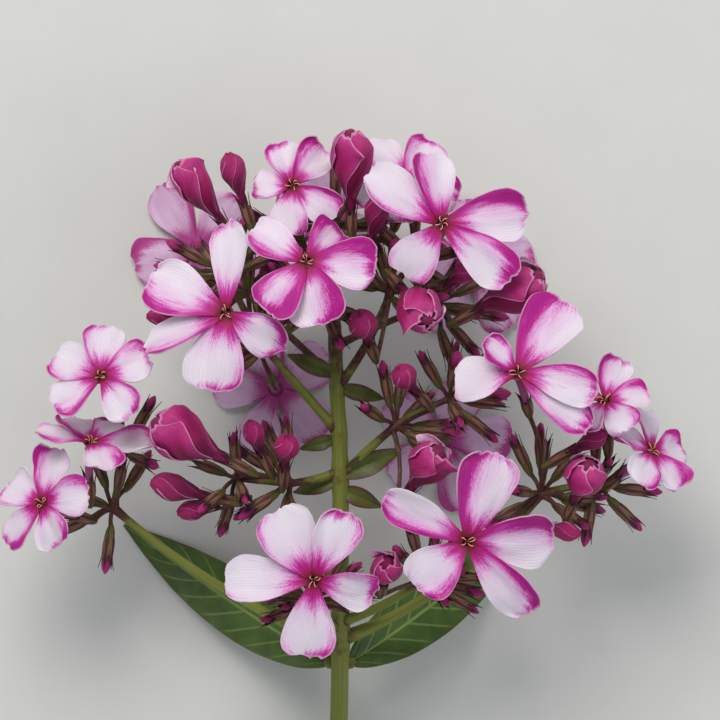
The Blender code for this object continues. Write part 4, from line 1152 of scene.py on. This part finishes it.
def streak_group():
    """Fine streaks that run along a petal, bud or stem: broad ones, fine ones and grains."""
    if "Streaks" in bpy.data.node_groups:
        return bpy.data.node_groups["Streaks"]
    nodes, given, found = node_group(
        "Streaks",
        (("Place", "NodeSocketVector"), ("Broad", "NodeSocketFloat"), ("Fine", "NodeSocketFloat")),
        (("Broad", "NodeSocketFloat"), ("Fine", "NodeSocketFloat"), ("Grain", "NodeSocketFloat")),
    )
    u, v, seed = nodes.split(given["Place"])
    shift = nodes.times(seed, 3.17)
    broad_v = nodes.times(v, given["Broad"])
    broad = nodes.grain(nodes.join(broad_v, nodes.times(u, 1.6), shift), 1.0, 3.0, 0.6)
    fine_v = nodes.times(v, given["Fine"])
    fine = nodes.grain(nodes.join(fine_v, nodes.times(u, 3.4), shift), 1.0, 3.0, 0.65)
    grain = nodes.grain(nodes.join(nodes.times(v, 34.0), nodes.times(u, 30.0), shift),
                        1.0, 2.0, 0.6)
    for label, value in (("Broad", broad), ("Fine", fine), ("Grain", grain)):
        nodes.feed(found[label], nodes.minus(value, 0.5))
    return nodes.tree


def petal_pattern_group():
    """Where a petal is magenta: a feathered eye, and blushes at its margins and its tip. Also its veins, its
    clouds and a painted highlight along its edge.
    """
    if "Petal Pattern" in bpy.data.node_groups:
        return bpy.data.node_groups["Petal Pattern"]
    nodes, given, found = node_group(
        "Petal Pattern",
        (("Place", "NodeSocketVector"), ("Blush", "NodeSocketVector")),
        (("Magenta", "NodeSocketFloat"), ("Wash", "NodeSocketFloat"), ("Eye", "NodeSocketFloat"),
         ("Painted Rim Highlight", "NodeSocketFloat"), ("Vein", "NodeSocketFloat"), ("Cloud", "NodeSocketFloat")),
    )
    u, v = nodes.split(given["Place"])[:2]
    left, right, tip = nodes.split(given["Blush"])
    streaks = nodes.group(streak_group(), Place=given["Place"], Broad=2.6, Fine=13.0)
    rough = nodes.times(streaks["Broad"], 1.3)
    rough = nodes.times_plus(streaks["Fine"], 0.8, rough)
    rough = nodes.times_plus(streaks["Grain"], 1.1, rough)
    eye = nodes.step(nodes.times_plus(rough, 0.32, u), 0.06, 0.46, 1.0, 0.0)
    clear = nodes.minus(1.0, eye)
    blotch = nodes.times_plus(streaks["Broad"], 1.5, 0.9, clamp=True)
    wash = nodes.step(nodes.times_plus(rough, 0.3, u), 0.1, 0.8, 0.7, 0.0)
    for side, amount in ((v, left), (nodes.times(v, -1.0), right)):
        start = nodes.times_plus(amount, -1.0, 1.0)
        reach = nodes.times_plus(rough, 0.5, side)
        reach = nodes.times_plus(nodes.minus(u, 0.6), 0.5, reach)
        strength = nodes.times(amount, 2.2, clamp=True)
        edge = nodes.step(reach, start, nodes.plus(start, 0.8))
        edge = nodes.times(edge, nodes.times(strength, blotch))
        clear = nodes.times(clear, nodes.minus(1.0, edge))
        wide = nodes.step(reach, nodes.minus(start, 0.7), nodes.plus(start, 0.5))
        wash = nodes.maths("MAXIMUM", wash, nodes.times(wide, amount))
    start = nodes.times_plus(tip, -0.34, 1.0)
    reach = nodes.times_plus(rough, 0.18, u)
    reach = nodes.times_plus(v, 0.09, reach)
    strength = nodes.times(nodes.times(tip, 2.4, clamp=True), blotch)
    edge = nodes.times(nodes.step(reach, start, nodes.plus(start, 0.24)), strength)
    clear = nodes.times(clear, nodes.minus(1.0, edge))
    nodes.feed(found["Wash"], wash)
    nodes.feed(found["Magenta"], nodes.minus(1.0, clear, clamp=True))
    nodes.feed(found["Eye"], nodes.step(nodes.times_plus(rough, 0.12, u), 0.02, 0.2, 1.0, 0.0))
    # A thin pale line along the petal's outer edge, past its foot: a painted highlight.
    margin = nodes.maths("MAXIMUM", nodes.maths("ABSOLUTE", v), nodes.times_plus(u, 1.0, -0.005))
    painted_rim_highlight = nodes.times(nodes.step(margin, 0.955, 0.99), nodes.step(u, 0.2, 0.5))
    nodes.feed(found["Painted Rim Highlight"], painted_rim_highlight)
    waves = nodes.times_plus(v, 30.0, nodes.times(streaks["Broad"], 9.0))
    vein = nodes.maths("POWER", nodes.maths("ABSOLUTE", nodes.maths("COSINE", waves)), 6.0)
    nodes.feed(found["Vein"], vein)
    nodes.feed(found["Cloud"], nodes.plus(streaks["Broad"], 0.5))
    return nodes.tree


def new_material(name, roughness, subsurface=0.0, sheen=0.0, coat=0.0):
    """A material with the values that are the same all over it, its nodes and its shader's inputs."""
    material = bpy.data.materials.new(name)
    material.use_nodes = True
    shader = material.node_tree.nodes["Principled BSDF"].inputs
    shader["Roughness"].default_value = roughness
    shader["Subsurface Weight"].default_value = subsurface
    shader["Subsurface Radius"].default_value = (1.0, 0.55, 0.75)
    shader["Subsurface Scale"].default_value = 0.0007
    shader["Specular IOR Level"].default_value = 0.35
    shader["Sheen Weight"].default_value = sheen
    shader["Sheen Roughness"].default_value = 0.4
    shader["Coat Weight"].default_value = coat
    shader["Coat Roughness"].default_value = 0.35
    return material, Nodes(material.node_tree), shader


def petal_face_material(name, settings):
    """The upper face of a petal: white, with magenta that feathers out along the veins, and a painted
    highlight along its edge.
    """
    material, nodes, shader = new_material(name, 0.52, subsurface=0.15)
    place = nodes.attribute("place")
    paint = nodes.group(petal_pattern_group(), Place=place, Blush=nodes.attribute("tint"))
    pale = nodes.mix(nodes.times(paint["Cloud"], 0.5), settings.white, "E2CCE2")
    pale = nodes.mix(nodes.times(paint["Vein"], 0.14), pale, "CFA3C8")
    pale = nodes.mix(nodes.times(paint["Wash"], 0.8), pale, "DFA8D6")
    colour = nodes.mix(nodes.step(paint["Magenta"], 0.02, 0.45), pale, "DE94CC")
    colour = nodes.mix(nodes.step(paint["Magenta"], 0.3, 0.8), colour, "C63AA2")
    colour = nodes.mix(nodes.step(paint["Magenta"], 0.6, 1.0), colour, settings.magenta)
    deep = nodes.times(nodes.step(paint["Magenta"], 0.75, 1.0), paint["Cloud"])
    colour = nodes.mix(nodes.times(deep, 0.6), colour, "98068A")
    colour = nodes.mix(paint["Eye"], colour, settings.eye)
    colour = nodes.mix(nodes.step(nodes.split(place)[0], 0.0, 0.1, 0.8, 0.0), colour, "58021C")
    # A painted highlight along the petal's edge.
    colour = nodes.mix(nodes.times(paint["Painted Rim Highlight"], 0.5), colour, "F0D4E8")
    nodes.feed(shader["Base Color"], colour)
    relief = nodes.times_plus(paint["Vein"], -0.16, paint["Cloud"])
    nodes.feed(shader["Normal"], nodes.bump(relief, 0.4, 0.0005))
    nodes.feed(shader["Roughness"], nodes.times_plus(paint["Cloud"], 0.16, 0.44))
    return material


def petal_back_material(name):
    """The under face of a petal: lilac pink, paler than the face, with the face's magenta showing through."""
    material, nodes, shader = new_material(name, 0.58, subsurface=0.12)
    place = nodes.attribute("place")
    paint = nodes.group(petal_pattern_group(), Place=place, Blush=nodes.attribute("tint"))
    u = nodes.split(place)[0]
    pale = nodes.mix(paint["Cloud"], "E6CFE4", "C98FBE")
    colour = nodes.mix(nodes.step(paint["Magenta"], 0.05, 0.9), pale, "B8438F")
    colour = nodes.mix(nodes.step(u, 0.0, 0.45, 0.5, 0.0), colour, "A63A80")
    colour = nodes.mix(nodes.times(paint["Vein"], 0.12), colour, "A64E92")
    nodes.feed(shader["Base Color"], colour)
    nodes.feed(shader["Normal"], nodes.bump(paint["Cloud"], 0.3, 0.0003))
    return material


def tube_material(name, low, high):
    """The corolla tube, outside or down its throat."""
    material, nodes, shader = new_material(name, 0.5, subsurface=0.08)
    place = nodes.attribute("place")
    streaks = nodes.group(streak_group(), Place=place, Broad=3.0, Fine=14.0)
    u = nodes.split(place)[0]
    colour = nodes.mix(nodes.step(nodes.times_plus(streaks["Fine"], 0.5, u), 0.0, 1.0), low, high)
    colour = nodes.mix(nodes.step(streaks["Broad"], -0.1, 0.3, 0.0, 0.4), colour, "7A1450")
    nodes.feed(shader["Base Color"], colour)
    nodes.feed(shader["Normal"], nodes.bump(streaks["Fine"], 0.3, 0.0003))
    return material


def bud_material(name, deep, bright, lip):
    """A bud's petal backs: magenta with wine streaks, a paler lip at the free margin, and a thin painted
    highlight along its edge.
    """
    material, nodes, shader = new_material(name, 0.46, subsurface=0.1, sheen=0.02)
    place = nodes.attribute("place")
    opened, free = nodes.split(nodes.attribute("tint"))[1:]
    streaks = nodes.group(streak_group(), Place=place, Broad=3.2, Fine=17.0)
    u, v = nodes.split(place)[:2]
    mixed_u = nodes.times_plus(streaks["Broad"], 1.5, u)
    mixed_u = nodes.times_plus(streaks["Fine"], 0.8, mixed_u)
    colour = nodes.mix(nodes.step(mixed_u, 0.1, 0.95), deep, bright)
    colour = nodes.mix(nodes.step(streaks["Fine"], -0.1, 0.25, 0.0, 0.6), colour, "7C0C46")
    colour = nodes.mix(nodes.step(mixed_u, 0.0, 0.4, 0.75, 0.0), colour, "5E0C38")
    tip = nodes.plus(u, nodes.times_plus(opened, 0.1, -0.1))
    margin = nodes.maths("MAXIMUM", v, tip)
    near = nodes.step(nodes.times_plus(streaks["Grain"], 0.12, margin), 0.6, 1.05)
    soft = nodes.times(near, nodes.times_plus(opened, 0.35, 0.1))
    colour = nodes.mix(nodes.times(soft, free), colour, lip)
    # A thin pale line right at the free margin: a painted highlight along the edge.
    line = nodes.step(margin, 0.96, 0.985, 0.0, 0.6)
    colour = nodes.mix(nodes.times(line, free), colour, "EDA6D0")
    nodes.feed(shader["Base Color"], colour)
    relief = nodes.plus(streaks["Fine"], streaks["Broad"])
    relief = nodes.times_plus(streaks["Grain"], 0.5, relief)
    nodes.feed(shader["Normal"], nodes.bump(relief, 0.5, 0.0006))
    nodes.feed(shader["Roughness"], nodes.times_plus(streaks["Broad"], 0.3, 0.44))
    return material


def skin_material(name, settings):
    """The stem's and branches' skin: green, turning purple brown at the forks and the cymes."""
    material, nodes, shader = new_material(name, 0.5, subsurface=0.05)
    dark = nodes.split(nodes.attribute("tint"))[0]
    where = nodes.within()
    lines = nodes.group(streak_group(), Place=nodes.attribute("place"), Broad=7.0, Fine=26.0)
    blotch = nodes.grain(where, 620.0, 3.0, 0.6)
    green = nodes.mix(nodes.step(lines["Broad"], -0.2, 0.3), settings.green, "8A9246")
    green = nodes.mix(nodes.step(lines["Fine"], 0.05, 0.3, 0.0, 0.5), green, "46591E")
    amount = nodes.times_plus(nodes.minus(blotch, 0.5), 0.9, dark)
    amount = nodes.times_plus(lines["Broad"], 0.5, amount)
    brown = nodes.mix(nodes.step(lines["Fine"], -0.2, 0.25), settings.node_brown, "6E3A34")
    colour = nodes.mix(nodes.step(amount, 0.25, 0.8), green, brown)
    nodes.feed(shader["Base Color"], colour)
    nodes.feed(shader["Normal"], nodes.bump(nodes.plus(lines["Fine"], blotch), 0.35, 0.0003))
    nodes.feed(shader["Roughness"], nodes.times_plus(blotch, 0.3, 0.36))
    return material


def calyx_material(name):
    """The calyces: green brown between the ribs, dark red brown on them and on the awns."""
    material, nodes, shader = new_material(name, 0.55, subsurface=0.05)
    awn, height = nodes.split(nodes.attribute("tint"))[:2]
    u, v, seed = nodes.split(nodes.attribute("place"))
    where = nodes.within()
    streaks = nodes.group(streak_group(), Place=nodes.attribute("place"), Broad=6.0, Fine=24.0)
    ribs = nodes.maths("COSINE", nodes.times(v, PARTS * math.pi))
    ribs = nodes.times_plus(ribs, 0.5, 0.5)
    red = nodes.grain(nodes.join(seed, nodes.times(u, 1.5), v), 1.3, 2.0)
    base = nodes.mix(nodes.step(red, 0.3, 0.6), "6C6432", "71403A")
    base = nodes.mix(nodes.step(height, 0.0, 0.6, 0.7, 0.0), base, "5A6428")
    between = nodes.times(nodes.step(ribs, 0.05, 0.4, 1.0, 0.0), nodes.step(height, 0.35, 0.9))
    base = nodes.mix(nodes.times(between, 0.6), base, "A88A70")
    dark = nodes.step(nodes.times_plus(streaks["Fine"], 0.8, ribs), 0.55, 1.0, 0.0, 0.75)
    base = nodes.mix(dark, base, "4E2420")
    middle = nodes.step(nodes.maths("ABSOLUTE", v), 0.2, 0.75, 1.0, 0.0)
    middle = nodes.times_plus(streaks["Fine"], 0.8, middle)
    tooth = nodes.mix(middle, "8E6A54", "5A2A26")
    dark = nodes.step(nodes.times_plus(streaks["Fine"], 0.4, u), 0.35, 0.8)
    awns = nodes.mix(dark, tooth, "33171A")
    colour = nodes.mix(awn, base, awns)
    nodes.feed(shader["Base Color"], colour)
    relief = nodes.plus(streaks["Fine"], nodes.grain(where, 2600.0))
    nodes.feed(shader["Normal"], nodes.bump(relief, 0.4, 0.0003))
    return material


def leaf_material(name, fresh, dark, edge, edge_share, veined=0.5):
    """A leaf's or a bract's blade: mottled green with paler veins, and perhaps a purple margin."""
    material, nodes, shader = new_material(name, 0.42, subsurface=0.06, coat=0.08)
    u, v = nodes.split(nodes.attribute("place"))[:2]
    where = nodes.within()
    mottle = nodes.grain(where, 160.0, 4.0, 0.6)
    cells = nodes.add("ShaderNodeTexVoronoi", feature="DISTANCE_TO_EDGE")
    nodes.feed(cells.inputs["Vector"], where)
    nodes.feed(cells.inputs["Scale"], 900.0)
    away = nodes.maths("ABSOLUTE", v)
    side = nodes.maths("FRACT", nodes.times_plus(u, 9.0, nodes.times(away, -1.5)))
    side = nodes.maths("ABSOLUTE", nodes.minus(side, 0.5))
    side = nodes.step(side, 0.02, 0.1, 0.7, 0.0)
    vein = nodes.maths("MAXIMUM", side, nodes.step(away, 0.02, 0.08, 1.0, 0.0))
    vein = nodes.times(vein, nodes.step(away, 0.75, 1.0, 1.0, 0.2))
    colour = nodes.mix(nodes.step(mottle, 0.3, 0.7), dark, fresh)
    colour = nodes.mix(nodes.times(vein, veined), colour, "9FB060")
    margin = nodes.times_plus(nodes.minus(mottle, 0.5), 0.8, away)
    colour = nodes.mix(nodes.step(margin, 0.55, 1.05, 0.0, edge_share), colour, edge)
    nodes.feed(shader["Base Color"], colour)
    relief = nodes.times_plus(nodes.step(cells.outputs["Distance"], 0.0, 0.08), 0.4, mottle)
    nodes.feed(shader["Normal"], nodes.bump(relief, 0.3, 0.0003))
    nodes.feed(shader["Roughness"], nodes.times_plus(mottle, 0.3, 0.32))
    return material


def grainy_material(name, dark, light, scale, roughness):
    """A matt natural surface with fine mottling: anthers, the cut end of the stem and the floor."""
    material, nodes, shader = new_material(name, roughness)
    where = nodes.within()
    mottle = nodes.grain(where, scale, 4.0, 0.6)
    nodes.feed(shader["Base Color"], nodes.mix(nodes.step(mottle, 0.25, 0.75), dark, light))
    nodes.feed(shader["Normal"], nodes.bump(mottle, 0.2, 0.0002))
    return material


def material_named(name, maker, *values):
    """The material of that name, made the first time that it is asked for."""
    return bpy.data.materials.get(name) or maker(name, *values)


def length_setting(name, description, default, low, high):
    """A length in metres that the panel shows."""
    return bpy.props.FloatProperty(name=name, description=description, default=default, min=low, max=high,
                                   unit="LENGTH", precision=5)


def colour_setting(name, description, code):
    """A colour that the panel shows."""
    return bpy.props.FloatVectorProperty(name=name, description=description, subtype="COLOR", size=3,
                                         min=0.0, max=1.0, default=linear(code))


class PhloxPetals(bpy.types.PropertyGroup):
    """Sizes and colours of the open blooms."""

    thickness: length_setting("Petal thickness", "Thickness of a petal's blade", 0.00028, 0.0001, 0.0006)
    ruffle: length_setting("Ruffle", "Height of the fine folds along a petal's margin", 0.00014, 0.0, 0.0005)
    white: colour_setting("Petal white", "Colour of the pale part of a petal", "E9E3E7")
    magenta: colour_setting("Magenta", "Colour of the blushes on a petal", "B8087E")
    eye: colour_setting("Eye", "Colour round the mouth of the tube", "A20248")


class PhloxBuds(bpy.types.PropertyGroup):
    """Sizes and colours of the buds."""

    wrap_thickness: length_setting("Wrap thickness", "Thickness of a petal that is wound round a bud",
                                   0.00025, 0.0001, 0.0006)
    bright: colour_setting("Bright magenta", "Colour of an unfurling bud", "B60E6E")
    wine: colour_setting("Wine", "Colour of a closed bud", "8E1250")


class PhloxStem(bpy.types.PropertyGroup):
    """Colours of the stem, and the length of the calyx awns."""

    awn_length: length_setting("Awn length", "Length of the thin tip on each calyx rib", 0.0032, 0.001, 0.005)
    green: colour_setting("Stem green", "Colour of the young stem", "74792C")
    node_brown: colour_setting("Node brown", "Colour of the skin at the forks", "3E2020")


class PhloxLeaves(bpy.types.PropertyGroup):
    """Sizes and colours of the leaves."""

    thickness: length_setting("Leaf thickness", "Thickness of a leaf's blade", 0.00042, 0.0001, 0.0009)
    vein_depth: length_setting("Vein depth", "How deep the veins are sunk in a leaf", 0.00014, 0.0, 0.0003)
    green: colour_setting("Leaf green", "Colour of a leaf's blade", "4F6B26")


class PhloxStage(bpy.types.PropertyGroup):
    """The floor, the light and the camera."""

    floor: colour_setting("Floor", "Colour of the floor", "D9D8D2")
    key_power: bpy.props.FloatProperty(
        name="Key light", description="Power of the large soft light in watts", default=4.8, min=0.0,
        max=50.0)
    camera_distance: bpy.props.FloatProperty(
        name="Camera distance", description="From the camera to the middle of the head", default=0.9, min=0.3,
        max=2.0, unit="LENGTH")


class PHLOX_OT_blooms(bpy.types.Operator):
    """Make the open blooms"""

    bl_idname = "phlox.make_blooms"
    bl_label = "Blooms"

    def execute(self, context):
        settings = context.scene.phlox_petals
        materials = (
            material_named("petal_face", petal_face_material, settings),
            material_named("petal_back", petal_back_material),
            material_named("tube_outside", tube_material, "B25C90", "8E1E60"),
            material_named("throat", tube_material, "8E0436", "60021E"),
            material_named("filament", grainy_material, "CC6A72", "DE8C84", 3000.0, 0.5),
            material_named("anther", grainy_material, "D68A70", "F0B698", 5000.0, 0.7),
        )
        thickness = settings.thickness / MM
        for order, bloom in enumerate(BLOOMS):
            growth = Growth()
            seed = 11.0 * order
            grid = PETAL_GRID if bloom.centre[2] > BACK_LEVEL else BACK_PETAL_GRID
            for number, petal in enumerate(bloom.petals):
                surface = petal_surface(bloom, petal, number, thickness, settings.ruffle / MM)
                blush = petal_blush(bloom, number, seed)
                growth.sheet(surface, grid, thickness, seed + number, blush, FACE, BACK)
            bloom_tube(growth, bloom, seed)
            stamens(growth, bloom, seed)
            growth.finish(bloom.name + "_petals", materials, bloom.name)
        return {"FINISHED"}


def bud_materials(settings, rolled):
    """The materials of a bud's core, its wraps and their insides. Unfurling buds have the brighter wraps."""
    bright, wine = tuple(settings.bright), tuple(settings.wine)
    core = material_named("bud_core", bud_material, wine, "8C1050", "9A1A62")
    if rolled:
        wrap = material_named("bud_wrap_open", bud_material, "8A0642", bright, "D6509E")
    else:
        wrap = material_named("bud_wrap_closed", bud_material, wine, "AE1A68", "BE4092")
    inside = material_named("bud_inside", bud_material, "B02878", "DFA8D0", "F0DCEC")
    return core, wrap, inside


class PHLOX_OT_unfurling_buds(bpy.types.Operator):
    """Make the buds whose petals begin to open"""

    bl_idname = "phlox.make_unfurling_buds"
    bl_label = "Unfurling buds"

    def execute(self, context):
        make_buds(ROLLED_BUDS, context.scene.phlox_buds, True)
        return {"FINISHED"}


class PHLOX_OT_closed_buds(bpy.types.Operator):
    """Make the closed buds"""

    bl_idname = "phlox.make_closed_buds"
    bl_label = "Closed buds"

    def execute(self, context):
        make_buds(CLOSED_BUDS, context.scene.phlox_buds, False)
        return {"FINISHED"}


def stem_materials(settings):
    """The materials of skin, calyces, small buds, bracts and the cut end."""
    return (
        material_named("stem_skin", skin_material, settings),
        material_named("calyx_skin", calyx_material),
        material_named("small_bud", bud_material, "7A2048", "C02A80", "C8589C"),
        material_named("bract_blade", leaf_material, "5F6629", "454C20", "5A2C2C", 0.85, 0.12),
        material_named("cut_end", grainy_material, "A9AE6A", "D5D6A4", 2500.0, 0.6),
    )


class PHLOX_OT_stem(bpy.types.Operator):
    """Make the stem with its branches, flower stalks, calyces, small buds and bracts"""

    bl_idname = "phlox.make_stem"
    bl_label = "Stem and calyces"

    def execute(self, context):
        settings = context.scene.phlox_stem
        awn = settings.awn_length / MM
        growth = Growth()
        main_stem(growth)
        for number, (radius, *points) in enumerate(BRANCHES.values()):
            branch(growth, radius, points, 5.0 + number)
        seats = [(bloom_seat(bloom), bloom.cyme) for bloom in BLOOMS]
        seats += [(bud_seat(bud), bud.cyme) for bud in ROLLED_BUDS + CLOSED_BUDS]
        for number, ((mouth, axis), cyme) in enumerate(seats):
            pedicel(growth, cyme, mouth, axis, 30.0 + number)
            calyx(growth, mouth, axis, 30.0 + number, awn)
        for number, (cyme, azimuth, rise, reach, size) in enumerate(SMALL_BUDS):
            axis = direction(azimuth, rise)
            mouth = CYMES[cyme] + axis * (reach + CALYX_LENGTH)
            budding_stalk(growth, cyme, mouth, axis, size, 80.0 + number, awn * SMALL_AWN, SEPAL_GRID)
        for leaf in LEAVES:
            leaf_cushion(growth, leaf)
        for number, (foot, azimuth, rise, length, width) in enumerate(BRACTS):
            surface = bract_surface(foot, azimuth, rise, length, width, 1.7 * number)
            growth.sheet(surface, BRACT_GRID, BRACT_THICKNESS, 5.0 * number, front=BRACT, back=BRACT)
        growth.finish("stem_and_calyces", stem_materials(settings), "stem")
        return {"FINISHED"}


class PHLOX_OT_young_buds(bpy.types.Operator):
    """Make the many young buds that crowd round the cymes"""

    bl_idname = "phlox.make_young_buds"
    bl_label = "Young buds"

    def execute(self, context):
        settings = context.scene.phlox_stem
        awn = settings.awn_length / MM * YOUNG_AWN
        growth = Growth()
        for cyme, mouth, axis, size, seed in young_stalks():
            budding_stalk(growth, cyme, mouth, axis, size, seed, awn, YOUNG_SEPAL_GRID)
        growth.finish("young_buds", stem_materials(settings), None)
        return {"FINISHED"}


class PHLOX_OT_leaves(bpy.types.Operator):
    """Make the leaves"""

    bl_idname = "phlox.make_leaves"
    bl_label = "Leaves"

    def execute(self, context):
        settings = context.scene.phlox_leaves
        green = tuple(settings.green)
        materials = (
            material_named("leaf_blade", leaf_material, green, "39521C", "5A5030", 0.25),
            material_named("leaf_back", leaf_material, "7E9258", "6A8048", "7A7A50", 0.2),
        )
        thickness = settings.thickness / MM
        for number, leaf in enumerate(LEAVES):
            growth = Growth()
            surface = leaf_surface(leaf, thickness, settings.vein_depth / MM)
            growth.sheet(surface, LEAF_GRID, thickness, 7.0 * number, front=BLADE, back=UNDERSIDE)
            growth.finish(leaf.name + "_blade", materials, leaf.name)
        return {"FINISHED"}


def soft_light(name, spot, aim, size, power, colour):
    """A large square light at a spot, turned to its aim."""
    data = bpy.data.lights.new(name, "AREA")
    data.size = size
    data.energy = power
    data.color = colour
    lamp = bpy.data.objects.new(name, data)
    lamp.location = spot
    lamp.rotation_mode = "QUATERNION"
    lamp.rotation_quaternion = (Vector(aim) - Vector(spot)).to_track_quat("-Z", "Y")
    bpy.context.scene.collection.objects.link(lamp)


class PHLOX_OT_stage(bpy.types.Operator):
    """Make the floor, the light and the camera"""

    bl_idname = "phlox.make_stage"
    bl_label = "Floor, light and camera"

    def execute(self, context):
        settings = context.scene.phlox_stage
        floor = bmesh.new()
        bmesh.ops.create_grid(floor, x_segments=8, y_segments=8, size=3.0)
        mesh = bpy.data.meshes.new("floor")
        floor.to_mesh(mesh)
        floor.free()
        colour = tuple(settings.floor)
        darker = tuple(0.97 * part for part in colour)
        mesh.materials.append(grainy_material("floor", darker, colour, 60.0, 0.85))
        ground = bpy.data.objects.new("floor", mesh)
        context.scene.collection.objects.link(ground)

        world = bpy.data.worlds.new("studio")
        world.use_nodes = True
        background = world.node_tree.nodes["Background"].inputs
        background["Color"].default_value = SKY_COLOUR
        background["Strength"].default_value = SKY_STRENGTH
        context.scene.world = world
        for name, spot, size, share, tone in LAMPS:
            soft_light(name, spot, LAMP_AIM, size, share * settings.key_power, tone)

        data = bpy.data.cameras.new("camera")
        data.sensor_width = SENSOR_WIDTH
        data.lens = SENSOR_WIDTH * settings.camera_distance / VIEW_WIDTH
        data.clip_start = 0.01
        camera = bpy.data.objects.new("camera", data)
        eye = (Vector((VIEW_MIDDLE_X, 0.0, HEAD_MIDDLE)) + OWN_TO_PART) * MM
        camera.location = eye + Vector((0, 0, settings.camera_distance))
        context.scene.collection.objects.link(camera)
        context.scene.camera = camera
        context.scene.view_settings.view_transform = "Standard"
        return {"FINISHED"}


class PHLOX_PT_panel(bpy.types.Panel):
    """The phlox head's settings and the buttons that make its pieces"""

    bl_idname = "PHLOX_PT_panel"
    bl_label = "Garden Phlox Head"
    bl_space_type = "VIEW_3D"
    bl_region_type = "UI"
    bl_category = "Phlox"

    def draw(self, context):
        for holder, settings_class in SETTINGS.items():
            box = self.layout.box()
            for name in settings_class.__annotations__:
                box.prop(getattr(context.scene, holder), name)
        for maker in MAKERS:
            self.layout.operator(maker.bl_idname)


SETTINGS = {
    "phlox_petals": PhloxPetals,
    "phlox_buds": PhloxBuds,
    "phlox_stem": PhloxStem,
    "phlox_leaves": PhloxLeaves,
    "phlox_stage": PhloxStage,
}
MAKERS = (
    PHLOX_OT_stem, PHLOX_OT_young_buds, PHLOX_OT_blooms, PHLOX_OT_unfurling_buds, PHLOX_OT_closed_buds,
    PHLOX_OT_leaves, PHLOX_OT_stage,
)
CLASSES = (*SETTINGS.values(), *MAKERS, PHLOX_PT_panel)


def register():
    for item in CLASSES:
        bpy.utils.register_class(item)
    for holder, settings_class in SETTINGS.items():
        setattr(bpy.types.Scene, holder, bpy.props.PointerProperty(type=settings_class))


def unregister():
    for holder in SETTINGS:
        delattr(bpy.types.Scene, holder)
    for item in reversed(CLASSES):
        bpy.utils.unregister_class(item)


def main():
    """Makes every piece and the stage."""
    register()
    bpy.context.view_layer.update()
    bpy.ops.phlox.make_stem()
    bpy.ops.phlox.make_young_buds()
    bpy.ops.phlox.make_blooms()
    bpy.ops.phlox.make_unfurling_buds()
    bpy.ops.phlox.make_closed_buds()
    bpy.ops.phlox.make_leaves()
    bpy.ops.phlox.make_stage()


if __name__ == "__main__":
    main()
